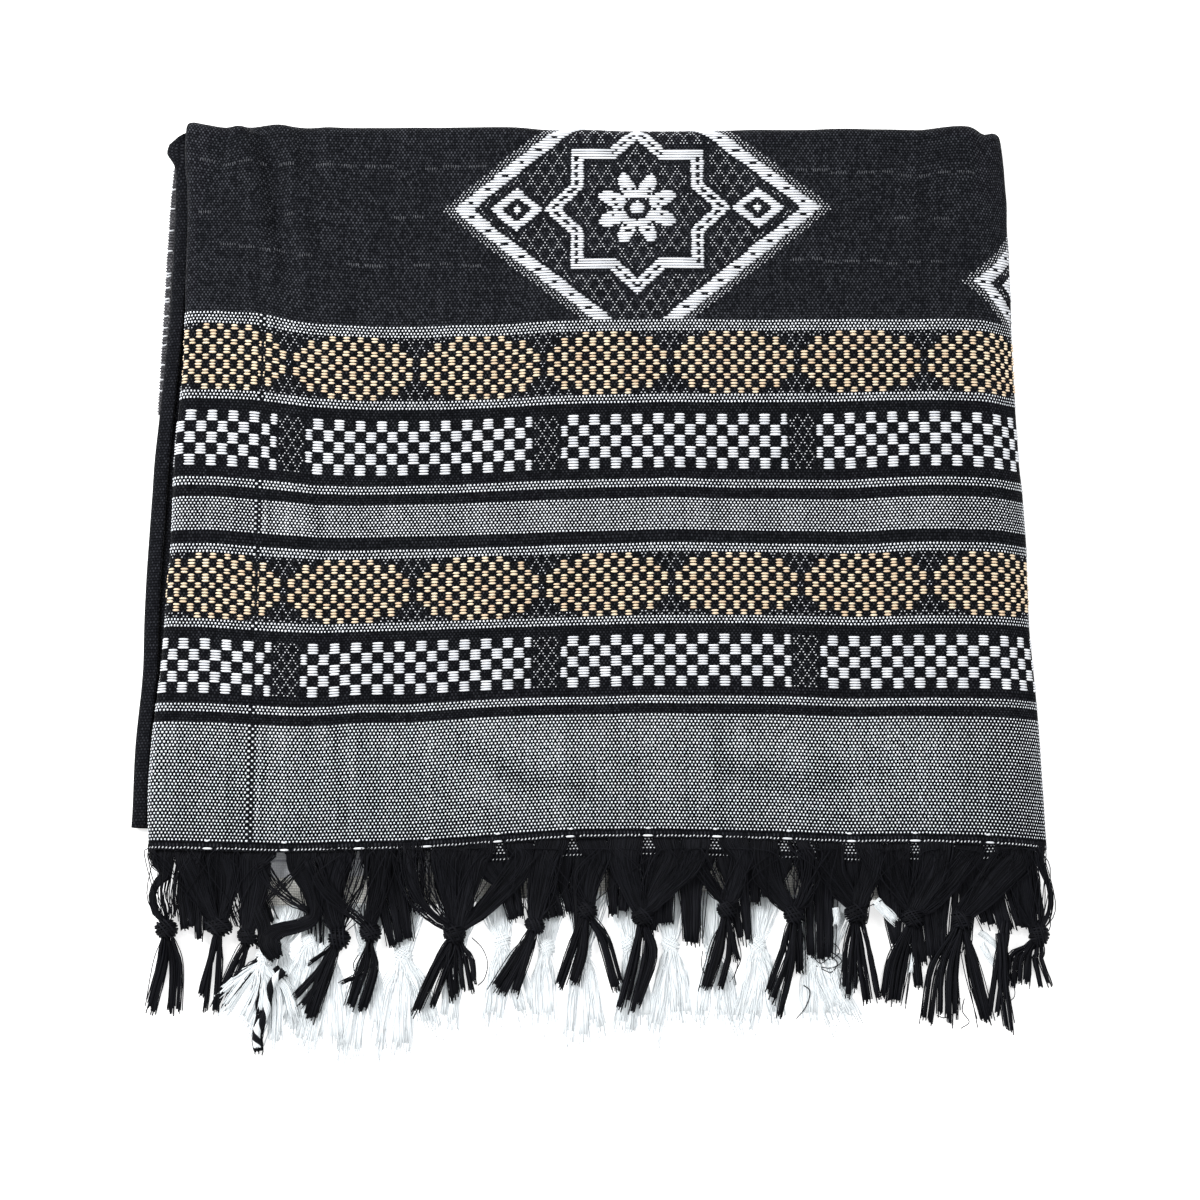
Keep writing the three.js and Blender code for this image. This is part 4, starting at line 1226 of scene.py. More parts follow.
def brush(points, wide, high, rng, base, radius, density, each=3.0, part=0.5, strays=2, **more):
    """A brush of yarn: thin ropes side by side that part a little towards their cut ends.

    It has a rope for each so many millimetres of width, density strands for each millimetre, and
    strays single strands that bow out of it.
    """
    count = max(1, round(wide[-1] / each))
    at = np.linspace(0, 1, len(points))
    middle, beside = beside_line(points, at)
    wide = np.array(wide, float)
    parts = []
    for k in range(count):
        u = (k + 0.5) / count * 2 - 1
        drift = np.cumsum(rng.normal(0, part * 0.6, len(at))) * (at > 0.3) if count > 1 else 0
        line = middle + beside * (u * wide / 2 * (1 - 0.35 / count) + drift)[:, None]
        line[:, 2] += rng.normal(0, 0.15)
        last = line[-1] - line[-2]
        line[-1] = line[-1] + last * rng.normal(0, 1.3) / np.linalg.norm(last)
        share = wide / count * np.interp(at, [0, 0.5, 1], [1.15, 1.05, 0.93])
        share = share * rng.uniform(0.85, 1.12)
        strands = max(4, int(share[-1] * density))
        parts += rope(line, share, high, strands, radius, rng, base=base, **more)
    for _ in range(strays):
        side = rng.choice([-1, 1]) * rng.uniform(0.5, 1.15)
        line = middle + beside * (side * wide / 2)[:, None] + rng.normal(0, 0.5, middle.shape)
        line[0] = middle[0]
        line = flowing(line, np.linspace(0.1, 1 + rng.uniform(-0.06, 0.05), 14))
        line[:, 2] = np.maximum(line[:, 2], base + radius)
        parts.append(tube_parts(line[None], radius * 0.8, 4))
    return parts


# The turns of yarn round a knot, two ways: their lean, where the first and last one lie, their
# number and how far out they are.
KNOT_WRAPS = [(0, -0.7, 0.6, 7, 0.98), (-1.3, -0.4, 0.5, 4, 1.06)]
KNOT_ROWS, KNOT_SIDES, KNOT_POLE = 8, 12, 0.12


def knot(x, y, z, heading, size, rng, radius, floor=0.05, plump=0.78):
    """A thumb knot: a plump body with turns of yarn wrapped over it two ways."""
    along = np.array([math.cos(heading), math.sin(heading), 0.0])
    beside = np.array([along[1], -along[0], 0.0])
    up = np.array([0, 0, 1.0])
    axes = np.array([size[0], size[1], min(size) * plump])
    centre = np.array([x, y, max(z, axes[2] + floor)])

    def place(a, b, c):
        return (
            centre + axes[0] * a[..., None] * beside + axes[1] * b[..., None] * along
            + axes[2] * c[..., None] * up
        )

    theta = np.linspace(KNOT_POLE, math.pi - KNOT_POLE, KNOT_ROWS)[:, None]
    phi = np.linspace(0, 2 * math.pi, KNOT_SIDES + 1)[None, :-1]
    lump = 0.9 + 0.05 * np.sin(3 * phi + rng.uniform(0, 6)) * np.sin(theta)
    out = lump * np.sin(theta)
    body = place(out * np.cos(phi), lump * np.cos(theta) + 0 * phi, out * np.sin(phi))
    body[..., 2] = np.maximum(body[..., 2], floor)
    parts = [(body.reshape(-1, 3), *ring_faces(KNOT_ROWS, KNOT_SIDES, turned=True))]
    turn = np.linspace(0, 2 * math.pi, 17)[:-1]
    lean = rng.uniform(0.3, 0.6)
    for change, first, last, count, swell in KNOT_WRAPS:
        tilt = lean + change
        for offset in np.linspace(first, last, count) + rng.normal(0, 0.04, count):
            r = math.sqrt(1 - offset**2)
            sway = 0.05 * np.sin(2 * turn + rng.uniform(0, 6))
            a, b, c = r * np.cos(turn), offset + sway, r * np.sin(turn)
            a, b = a * math.cos(tilt) - b * math.sin(tilt), a * math.sin(tilt) + b * math.cos(tilt)
            grow = swell + rng.normal(0, 0.02)
            line = place(a * grow, b * grow, c * grow)
            line[:, 2] = np.maximum(line[:, 2], floor + radius)
            thick = radius * rng.uniform(0.85, 1.1)
            parts.append(tube_parts(line[None], thick, 5, closed=True, up=along))
    return parts


# Height of the front fringe's net, out from the hem line.
NET_HEIGHT = np.array([
    (-3, 12.2), (2, 12.2), (8, 11.8), (14, 10.6), (20, 9.2), (26, 8.0), (34, 6.6), (46, 5.0),
])
YARN = 0.29  # radius of a strand of black yarn
THIN_YARN = 0.25
# The warp ends of the front hem, gathered into ribbons: from and to along the hem, the knot that
# ties them, the way there as places and widths, and how closely the yarn lies.
RIBBONS = [
    (-212, -199, (-203, -39), [(-205.5, -8, 10.5), (-203.5, -14.5, 5), (-208.3, -19.5, 2.8),
                               (-210, -26, 2.6), (-207.8, -33, 2.8)], 1),
    (-199, -185.5, (-180, -39), [(-193, -8, 13), (-189, -17, 11), (-184.5, -29, 7)], 1),
    (-183.5, -168, (-177, -39), [(-175.5, -8, 14.5), (-173.5, -16, 11), (-175.5, -28, 6.5)], 1),
    (-168, -151.5, (-165, -43), [(-161.5, -8, 15.5), (-162, -20, 13.5), (-164, -33, 9)], 1),
    (-132, -115.5, (-122, -44), [(-124.5, -8, 15), (-127, -19, 12), (-125.5, -33, 8.5)], 1),
    (-112, -108, (-121, -42), [(-110, -12, 3.4), (-112.5, -21, 2.4), (-118, -30, 3)], 0.6),
    (-108, -97, (-107.5, -41), [(-103, -10, 10.5), (-104, -20, 9.5), (-106.5, -31, 7.5)], 1),
    (-97, -82, (-70, -41), [(-90, -8, 14), (-88, -19, 12), (-83, -28.5, 9), (-75.5, -36, 6)], 0.6),
    (-79, -63, (-68.5, -42), [(-72, -8, 14), (-71, -20, 10.5), (-69.5, -31, 7)], 1),
    (-63, -49, (-66, -42), [(-59, -7, 12), (-61, -17, 9.5), (-64, -29, 6.5)], 1),
    (-45.5, -31, (-65, -41), [(-35.8, -7, 10.5), (-40, -15, 11), (-48, -24, 9), (-57, -33, 7)], 1),
    (-31, -14.5, (-30.5, -37), [(-25.5, -7, 12.5), (-27.5, -17, 11.5), (-29.5, -28, 9)], 1),
    (-11.5, 4, (-5.5, -30), [(-1, -6.5, 11.5), (-4, -15, 10.5), (-5.5, -23, 8.5)], 1),
    (4, 20.5, (19, -34), [(11, -7, 15), (12.5, -15, 12), (16, -25, 8.5)], 1),
    (24.5, 38, (20.5, -33), [(33, -6, 9.5), (29.5, -13, 9.5), (24, -23, 8)], 1),
    (38, 51.5, (21, -34), [(43.5, -7, 12), (39.5, -14.5, 10), (31, -21.5, 8.5),
                           (24.5, -28.5, 6.5)], 0.8),
    (46, 52, (58.5, -29), [(47, -8, 5.5), (49.5, -16, 6), (54.5, -22.5, 6)], 1),
    (56, 70, (60, -30), [(66, -6.5, 9), (64, -16, 9), (61.5, -24, 8)], 1),
    (70, 84.5, (90.5, -33), [(77, -8, 14), (79.5, -17, 12), (85, -26, 8.5)], 1),
    (88, 102, (91.5, -33), [(98, -7, 10), (97.5, -16, 9.5), (94.5, -26, 7)], 0.7),
    (102, 115.5, (119, -31), [(108.5, -7, 13), (110, -15, 11.5), (114.5, -23, 9.5)], 1),
    (119.5, 133, (121, -32), [(127.7, -7, 11.5), (126, -15.5, 10.5), (123, -23, 8.5)], 1),
    (133, 146.5, (145.5, -33), [(138.5, -8, 13.5), (139.5, -16.5, 12), (143, -26, 8.5)], 1),
    (149.5, 166, (147, -34), [(157, -8, 15.5), (155, -16, 14), (150, -26, 9.5)], 1),
    (166, 181, (149, -34), [(170, -8, 14), (163.5, -16.5, 13.5), (155, -26, 10.5)], 0.9),
    (185, 204, (170, -35), [(194.5, -7, 18.5), (187, -15, 16.5), (178, -25.5, 12.5)], 0.9),
    (194, 204, (203, -40), [(199, -8, 10), (198, -18, 11.5), (199.5, -28, 11.5),
                            (201.5, -35, 8)], 1),
    (204, 208.6, (206, -42), [(206, -8, 4), (208, -14, 3.2), (210.6, -22, 2.2), (210.8, -30, 2.2),
                              (208.6, -37, 2.6)], 1),
    (200, 204, (205.5, -42), [(203, -9, 3.6), (204, -16, 2.2), (206, -25, 1.5),
                              (206.5, -33, 1.8)], 1),
]
# The knots and their half sizes, and the brushes below each: where each bends, where it ends and
# how wide it is there.
KNOTS = [
    (-203, -40, 5.2, 4.6, [((-205.5, -57), (-210, -77.5), 6.8),
                           ((-198.3, -57), (-198.7, -78), 7.4)]),
    (-178.5, -39, 6.6, 4.2, [((-183, -56), (-186.7, -71), 3.0),
                             ((-179.3, -57), (-181.3, -78), 6.8)]),
    (-165, -44, 5, 3.8, [((-171, -58), (-178.5, -76), 6.2)]),
    (-122, -44.5, 5.2, 5.2, [((-130.5, -61), (-141, -73.5), 5.5), ((-129, -62), (-135, -82), 7.2),
                             ((-129, -51), (-136, -55.7), 1.5)]),
    (-107.5, -41.5, 5, 4.7, [((-108, -58), (-114, -76.5), 10), ((-111, -60), (-120.3, -65), 1.8)]),
    (-68, -42.5, 5.2, 4.8, [((-77, -60), (-85, -78), 4.6), ((-73.5, -59), (-79, -75), 4.2),
                            ((-68.5, -57), (-67.3, -71), 5), ((-62.8, -55), (-61, -67), 7)]),
    (-30.5, -38.5, 4.8, 3.6, [((-40, -53), (-49.5, -67), 4.8), ((-37.5, -55), (-45, -69), 3.6),
                              ((-35, -55), (-40, -70), 3.2)]),
    (-6, -31.5, 4.6, 4.2, [((-12.8, -50), (-18.5, -66.3), 4.8), ((-8.5, -51), (-12.7, -65.5), 5.6),
                           ((2.5, -46), (8, -66), 7)]),
    (20, -34.5, 5.2, 4.5, [((17.5, -54), (11.8, -77), 7.5), ((24.5, -53), (17.5, -74), 3.8)]),
    (59.5, -31, 4.6, 4.6, [((56.5, -49), (51.5, -67.5), 9), ((62, -45), (64.8, -55.5), 2.6)]),
    (91, -33.5, 5, 4.6, [((86, -53), (80, -69.5), 5.2), ((89, -57), (83, -79.5), 4.6),
                         ((92.8, -48), (93.2, -60.5), 5)]),
    (120, -33, 5.4, 4.8, [((116.8, -51), (115.8, -68), 6.6), ((123.2, -54), (126, -72.5), 7)]),
    (146.5, -35, 5.2, 4.6, [((139.5, -55), (136.3, -74.5), 11), ((147.5, -52), (149, -67), 3.8)]),
    (169.5, -36, 5, 4.4, [((155.5, -57), (151, -82), 4.4), ((163.5, -58), (162, -81), 10.5),
                          ((174.5, -59), (180, -82.5), 8.5)]),
    (205.5, -43, 4.6, 5.4, [((197.5, -54), (196, -65.5), 12), ((205.5, -54), (208, -64.8), 5)]),
]
# Two brushes at the right that drop straight out of the yarn above them.
DROPS = [
    ((190, -36), (187.5, -58), (183.5, -80.5), 4.6),
    ((187.5, -42), (188.8, -66), (191, -86), 4.8),
]


def net_height(y):
    """Height of the net at a place, by how far out it lies."""
    return np.interp(-np.asarray(y, float), *NET_HEIGHT.T)


def halfway(a, b):
    """The point half way between two."""
    return tuple((p + q) / 2 for p, q in zip(a, b))


def gathered(number, low, high, tied, way, dense):
    """A ribbon of the front hem's warp ends, drawn together to the knot that ties them."""
    centre = (low + high) / 2
    start = float(hem_wave(centre))
    # It starts inside the cloth and ends inside the knot.
    way = np.array([
        (centre, start + 2, high - low), (centre, start - 2.5, high - low - 0.4), *way,
        (tied[0], tied[1] + 2, way[-1][2] * 0.72), (tied[0], tied[1] - 1.5, 3.6),
    ])
    wide = way[:, 2]
    points = np.stack([way[:, 0], way[:, 1], net_height(way[:, 1]) - 1.3 + 0.7 * (number % 2)], -1)
    share = np.linspace(0, 1, len(way))
    thick = np.interp(share, [0, 0.2, 0.5, 0.8, 1], [0.8, 1.1, 1.6, 2.6, 2.8])
    radius, loose = (YARN, 0.26) if dense == 1 else (THIN_YARN, 0.5)
    return rope(
        points, wide, np.minimum(thick, wide), max(5, int((high - low) / END * 1.75 * dense)),
        radius, rng, rings=13 + len(way) // 3, ragged=0.01, loose=loose, under=0.12, square=3.0,
        core=1.0 if dense >= 0.8 else 0.45,
    )


def tied_tassel(kx, ky, rx, ry, brushes):
    """A knot and the brushes below it, which rest on the white fringe in the middle stretch."""
    base = 2.6 if -150 < kx < 130 else 0.1
    z = float(net_height(ky)) - 0.4
    parts = []
    for (mx, my), (ex, ey), wide in brushes:
        along = np.array([mx - kx, my - ky]) / math.hypot(mx - kx, my - ky)
        # It leaves the knot level, and sinks to what lies below it.
        points = [
            (kx, ky, z),
            (kx + along[0] * ry * 1.5, ky + along[1] * ry * 1.5, z * 0.7 + base * 0.3),
            (mx, my, base + 1.5 + 0.1 * z),
            (ex, ey, base + 0.9),
        ]
        neck = min(wide, 4.4)
        parts += brush(
            points, (neck * 0.8, neck * 0.95, wide * 0.97, wide), (2.2, 3.0, 2.8, 1.8), rng, base,
            YARN, 2.3, each=2.6, part=0.72, strays=1 if wide < 3 else 3,
        )
    mean = np.mean([bend for bend, _, _ in brushes], axis=0) - np.array((kx, ky))
    return parts + knot(kx, ky, z, math.atan2(mean[1], mean[0]), (rx, ry), rng, 0.5)


def straight_drop(start, bend, stop, wide):
    """A brush with no knot of its own."""
    points = [(*start, 5.0), (*halfway(start, bend), 4.2), (*bend, 2.4), (*stop, 1.1)]
    return brush(points, (wide, wide, wide, wide), (2.4, 2.6, 2.6, 1.7), rng, 0.1, YARN, 2.3)


rng = np.random.default_rng(31)
net_parts = [part for number, row in enumerate(RIBBONS) for part in gathered(number, *row)]
tail_parts = [part for row in KNOTS for part in tied_tassel(*row)]
tail_parts += [part for row in DROPS for part in straight_drop(*row)]
# Strands that have worked loose.
LOOSE = [
    [(-211.5, -2, 11), (-212.2, -7, 10), (-209.5, -12, 9.2), (-204, -15.5, 9)],
    [(-210.3, -2, 11.2), (-210.8, -7, 10.2), (-208, -11.5, 9.6), (-203.5, -15, 9.2)],
    [(-209, -2, 11.2), (-209.4, -6.5, 10.4), (-206.5, -11, 9.8), (-203, -14.5, 9.4)],
    [(-143, -14, 10), (-146, -19, 9), (-151, -24.5, 8)],
    [(-142.5, -15, 10), (-145.5, -20.5, 9), (-150.5, -25.5, 8)],
    [(-60, -44, 5), (-55, -49, 4), (-52.5, -56, 3), (-54, -63, 2.2), (-57, -66, 1.6)],
    [(62, -40, 5), (64.5, -52, 3.6), (63.5, -60, 2.6), (60.5, -64.5, 1.8)],
    [(64, -42, 5), (66, -53, 3.4), (63, -61, 2.4), (63.5, -66, 1.6)],
    [(99, -52, 5), (103, -56, 3.6), (108, -53, 3.2), (111, -56, 3), (108, -60, 2.6), (103, -58, 2)],
    [(103, -48, 4.4), (109, -51, 3.6), (113, -55, 3.2), (108, -58, 2.6), (101, -57, 2.2)],
    [(104, -46, 4.4), (110, -47, 3.8), (112, -51, 3.2), (107, -54, 2.8), (105, -50, 2.6)],
    [(95, -66, 3), (98, -69, 2.4), (96, -76, 1.8), (91.5, -81.5, 1.5)],
    [(190, -62, 4), (193, -66, 3), (193.5, -71, 2), (190.5, -74, 1.3)],
    [(-113, -52, 4), (-115.2, -56, 3), (-114.5, -60, 2.4), (-112.5, -62, 2)],
    [(48, -50, 3), (47.5, -57, 2.6), (49.5, -63, 2), (46.5, -67, 1.5)],
    [(168, -72, 2), (166, -78, 1.8), (161, -81, 1.6), (157, -80, 1.4)],
    [(170, -72, 2), (169, -78, 1.8), (172, -83, 1.6), (168, -86, 1.2)],
]
for points in LOOSE:
    tail_parts.append(tube_parts(through(np.array([points], float), 20), THIN_YARN, 5))
# Thin bundles that cross the open places of the net: their places, widths and strands.
CROSSINGS = [
    ([(-160, -5, 11.6), (-155, -17, 10.2), (-146, -26, 8.8), (-136.5, -32, 7.4)],
     (8, 6.5, 4.2, 3), 15),
    ([(-137, -5, 11.6), (-142, -13, 10.8), (-149, -20, 9.4), (-156, -27, 8)], (4, 3.2, 2.4, 2), 7),
    ([(-135, -8, 11.6), (-129, -21, 10.2), (-119, -31, 8.6), (-109, -39, 7)],
     (8, 6.5, 4.4, 3), 15),
]


def net_strays():
    """Strands that bow out of their ribbon, and strands that cross to the next ribbon's knot."""
    strays = []
    for number, (low, high, tied, way, _) in enumerate(RIBBONS):
        for k in range(6):
            x, y, wide = way[k % len(way)]
            out = rng.choice([-1, 1]) * (wide * rng.uniform(0.42, 0.6) + rng.uniform(0.3, 1.6))
            start = (rng.uniform(low, high), -3)
            strays.append([start, (x + out, y), (tied[0] + rng.normal(0, 1), tied[1])])
        for step in (-2, -1, 1, 2):
            if 0 <= number + step < len(RIBBONS):
                kx, ky = RIBBONS[number + step][2]
                x = rng.uniform(low, high)
                if 12 < abs(kx - x) < 34:
                    bow = rng.normal(0, 2.5)
                    strays.append([(x, -4), ((x + kx) / 2 + bow, ky / 2 - 2 - bow), (kx, ky)])
    strays = np.array(strays)
    z = net_height(strays[..., 1:]) + rng.uniform(0.3, 1.2, (len(strays), 1, 1))
    z[:, 2] -= 1.0
    return tube_parts(through(np.concatenate([strays, z], -1), 10), 0.22, 4)


rng = np.random.default_rng(37)
net_parts.append(net_strays())
for points, wide, count in CROSSINGS:
    net_parts += rope(
        points, wide, (0.8, 1.1, 1.4, 1.6), count, 0.26, rng, rings=15, ragged=0.01, loose=0.45,
        under=0.1, core=0,
    )
net = joined("front_net", net_parts, black_yarn)
tails = joined("front_tassels", tail_parts, black_yarn)

# The second end's blunt-cut fringe: from and to along its hem, part way, its end and how closely
# the yarn lies.
CLUSTERS = [
    (-205, -194, (-203, -23, 11.5), (-200.5, -38, 9.5), 0.85),
    (-197, -189, (-195.5, -23, 9), (-193.5, -42, 8), 1),
    (-190, -180.5, (-187, -22, 9.5), (-186, -43.5, 7.5), 1),
    (-186, -176, (-181.5, -21, 9.5), (-180.5, -33, 8), 1),
    (-181, -166, (-172.5, -22, 14), (-168, -39, 10), 0.7),
    (-168, -157.5, (-162.5, -22, 12), (-156, -38, 12), 1),
    (-144, -128, (-135.5, -22, 13), (-133, -45.5, 7.5), 0.5),
    (-129, -113.5, (-124.5, -22, 10), (-124, -36, 8), 1),
    (-114, -93, (-99, -23, 16), (-94, -46.5, 13.5), 1),
    (-93, -79, (-85.5, -20, 14), (-84, -32, 10), 0.8),
    (-80, -57, (-68, -20, 22), (-66, -34, 12), 1),
    (-58, -34, (-42, -21, 10.5), (-38.5, -36, 8.5), 1),
    (-35, -12, (-24.5, -20, 21), (-19.5, -35, 15.5), 1),
    (-13, 3, (-8, -20, 12), (-9.5, -42.5, 5), 1),
    (3, 19, (9.5, -20, 13), (8.5, -33, 10.5), 1),
    (18, 34, (28, -22, 15), (28.5, -40, 13), 1),
    (34, 55, (43, -20, 14), (43.2, -47, 9.5), 1),
    (54, 71, (64, -20, 13), (67.5, -46, 6.5), 1),
    (70, 91, (77.5, -18, 15), (77.5, -27, 13.5), 1),
    (90, 114.5, (103, -22, 15), (103, -54, 12.5), 1),
    (114, 129, (122, -22, 9.5), (121, -38, 8), 1),
    (129, 143.5, (136.5, -22, 14), (138, -46.5, 7), 1),
    (143.5, 160.5, (152, -22, 16.5), (155, -54, 13), 1),
    (160.5, 178, (169, -22, 16.5), (166, -50, 15), 1),
    (170, 184, (179, -20, 13), (184, -37.5, 11), 1),
    (176, 190, (189, -21, 17), (194.5, -41, 16), 1),
]
SECOND_PROFILE = np.array([
    (-2, 11.2), (3, 11.0), (9, 9.9), (16, 7.8), (24, 6.2), (32, 5.4), (40, 4.8), (56, 4.0),
])


def blunt_cut(low, high, bend, stop, dense):
    """A bundle of the second end's warp, which is cut off straight."""
    centre, wide, middle_wide = (low + high) / 2, stop[2], bend[2]
    start = float(hem_wave(centre) - second_out(centre))
    way = np.array([(centre, start + 2), (centre, start - 2), bend[:2], halfway(bend, stop)[:2],
                    stop[:2]])
    z = np.interp(-way[:, 1], *SECOND_PROFILE.T) - 0.9
    widths = (high - low, high - low, middle_wide, (middle_wide + wide) / 2, wide)
    part, core = (0.35, 0.95) if dense == 1 else (0.8, 0.25)
    return brush(
        np.column_stack([way, z]), widths, (0.9, 1.1, 1.8, 2.2, 1.7), rng, 0.1, 0.27, 1.9 * dense,
        each=4.2, part=part, strays=3, rings=11, ragged=0.9, loose=0.3, under=0.1, core=core,
    )


rng = np.random.default_rng(37)
second_parts = [part for row in CLUSTERS for part in blunt_cut(*row)]
second_fringe = joined("second_fringe_yarn", second_parts, black_yarn)

# White tassels: the middle of the root, the knot, and the brushes.
WHITE_TASSELS = [
    (-146, (-149, -49), [((-152, -67), (-157, -88), 13), ((-144, -67), (-140, -88), 11)]),
    (-127, (-128, -49), [((-131, -70), (-136, -94), 12), ((-123, -68), (-122, -91), 11)]),
    (-134, (-136, -45), [((-141, -62), (-148, -84), 13), ((-134, -62), (-133, -80), 8)]),
    (-108, (-109, -50), [((-112, -70), (-116, -97), 12), ((-105, -66), (-103, -88), 10)]),
    (-91, (-92, -52), [((-97, -70), (-100, -95), 13), ((-90, -70), (-91, -95), 10),
                       ((-84, -66), (-79, -84), 9)]),
    (-66, (-67, -50), [((-69, -66), (-70, -85), 12)]),
    (-48, (-46, -46), [((-47, -62), (-50, -81), 13), ((-40, -60), (-35, -80), 12)]),
    (-25, (-25, -48), [((-26, -63), (-25, -82), 13)]),
    (-6, (-8, -51), [((-10, -68), (-12, -92), 11), ((-4, -66), (-1, -87), 9)]),
    (12, (14, -47), [((13, -66), (10, -87), 12), ((19, -64), (20, -84), 9)]),
    (33, (33, -47), [((29, -66), (26, -88), 12), ((36, -64), (37, -82), 11)]),
    (52, (53, -50), [((51, -66), (50, -81), 13), ((58, -64), (62, -82), 11)]),
    (76, (74, -47), [((72, -63), (68, -82), 13), ((79, -62), (82, -81), 9)]),
    (96, (98, -52), [((97, -66), (97, -82), 10), ((103, -66), (108, -80), 9)]),
    (111, (107, -52), [((111, -66), (117, -81), 9), ((119, -60), (112, -76), 4)]),
]
# Short cords of the same warp that lie in the gaps at the right, and their widths.
SHORT_CORDS = [
    ([(129, -27, 7), (133, -31, 6.4), (138.5, -36.5, 5.4)], 4.2),
    ([(110.5, -30, 5), (111, -34, 4.6), (110.8, -38, 4.2)], 2.6),
    ([(178, -41, 3), (182.5, -44.5, 2.6), (187.5, -48.5, 2)], 2.6),
    ([(179, -46, 2.4), (181.5, -52, 2.2), (186, -58, 1.6)], 2.6),
    ([(145.5, -45, 3), (147, -51, 2.4), (145, -60, 1.6)], 2.8),
]
WHITE_YARN = 0.26  # radius of a strand of white yarn


def white_tassel(root, tied, brushes):
    """Warp of the pale ply that is drawn together on the surface, knotted and let hang."""
    kx, ky = tied
    start = float(hem_wave(root)) - WHITE_OUT
    points = [(root, start + 1.5, 0.95), (root, start - 1.5, 0.9),
              (*halfway((root, start), tied), 1.1), (kx, ky + 3, 1.3), (kx, ky, 1.3)]
    parts = rope(
        points, (21, 20, 13, 7.5, 6), (0.9, 1.0, 1.4, 1.8, 2), 30, WHITE_YARN, rng, base=0.05,
        rings=9, ragged=0.01, loose=0.5, under=0.0, core=0.7,
    )
    for (mx, my), stop, wide in brushes:
        third = ((kx * 2 + mx) / 3, (ky * 2 + my) / 3)
        parts += brush(
            [(*tied, 1.4), (*third, 1.4), (mx, my, 1.2), (*stop, 0.8)],
            (4.4, 6, wide * 0.85, wide), (2.2, 2.2, 1.9, 1.2), rng, 0.05, WHITE_YARN, 2.1,
            each=4.6, part=0.9, strays=4, rings=11, ragged=2.2, loose=0.55, under=0.1,
        )
    heading = -math.pi / 2 + rng.normal(0, 0.3)
    return parts + knot(kx, ky, 1.6, heading, (4.0, 4.6), rng, 0.36, plump=0.38)


rng = np.random.default_rng(41)
white_parts = [part for row in WHITE_TASSELS for part in white_tassel(*row)]
for points, wide in SHORT_CORDS:
    white_parts += rope(
        points, (wide, wide, wide), (2, 2, 1.6), 10, WHITE_YARN, rng, base=0.05, rings=8,
    )
white_fringe = joined("white_fringe", white_parts, white_yarn)

# One tassel is tied from black ends of the front hem and white warp. Its black part: the ribbon
# that comes from the hem and turns round the knot, a second one, and short ends with their widths.
MIXED_LOW, MIXED_HIGH = -148.0, -132.0
MIXED_WAY = [
    (-140.5, -11, 12), (-136.5, -20, 8.5), (-134, -28, 6.5), (-134.5, -35, 6), (-141, -38.7, 6),
    (-149.5, -40.5, 6.6), (-155, -44.5, 10), (-153.5, -49.5, 9.5), (-151, -54, 6),
]
MIXED_RISE = (0.6, 1.6, 2.4, 1.6)  # how far the last four places lie above the net
MIXED_SECOND = [(-163, -25, 7), (-159.5, -33, 6.6), (-157, -41, 6), (-158, -49, 5)]
MIXED_ENDS = [
    ([(-158, -52, 4.5), (-164, -57, 3.8), (-172, -62, 3.2)], 1.5),
    ([(-158, -53, 4.5), (-165, -63, 3.6), (-171, -71, 2.6)], 1.6),
    ([(-158, -54, 4.2), (-161, -66, 3.4), (-163, -75, 2.6)], 2.2),
    ([(-158, -56, 4.2), (-159.5, -72, 3.4), (-159.5, -83, 2.8)], 1.6),
    ([(-156.5, -78, 3.4), (-159, -88, 3), (-158.5, -97.5, 1.8)], 4.6),
    ([(-152, -58, 4), (-149, -61.5, 3.6), (-147, -62.5, 3.2)], 3.2),
    ([(-153, -67, 3.8), (-154, -76, 3.4), (-157, -83, 2.6)], 1.6),
]
# Its white part: the way from the pale ply to the knot, and the brushes below it: where each
# bends, where it ends and how wide it is.
MIXED_ROOT, MIXED_KNOT = -147, (-157, -53)
MIXED_BRUSHES = [
    ((-167, -61), (-178, -70), 4), ((-166, -65), (-174, -77), 5), ((-161, -69), (-167, -84), 6),
    ((-157, -71), (-160, -89), 6), ((-152, -70), (-151, -92), 7), ((-147, -66), (-142, -82), 6),
]
# A cord twisted of black and white strands hangs over them: its way, its half width and half
# height, its turns, and the angles at which the strands of each colour start.
CORD = [
    (-147.5, -59.5, 5.0), (-153, -66, 5.2), (-155.5, -79, 4.8), (-159.5, -88, 4.4),
    (-159, -95, 3.6),
]
CORD_WIDE, CORD_HIGH, CORD_TURNS = 1.45, 1.15, 3.6
BLACK_ANGLES, WHITE_ANGLES = (0.0, 0.7, 1.4, 2.1), (3.1, 3.8, 4.5, 5.2)


def twisted(angles):
    """Strands of the twisted cord that start at the given angles."""
    t = np.linspace(0, 1, 57)
    middle, beside = beside_line(CORD, t)
    turn = 2 * math.pi * CORD_TURNS * t + np.array(angles)[:, None]
    lines = middle + beside * (CORD_WIDE * np.cos(turn))[..., None]
    lines[..., 2] = middle[..., 2] + CORD_HIGH * np.sin(turn)
    return tube_parts(lines, 0.5, 5)


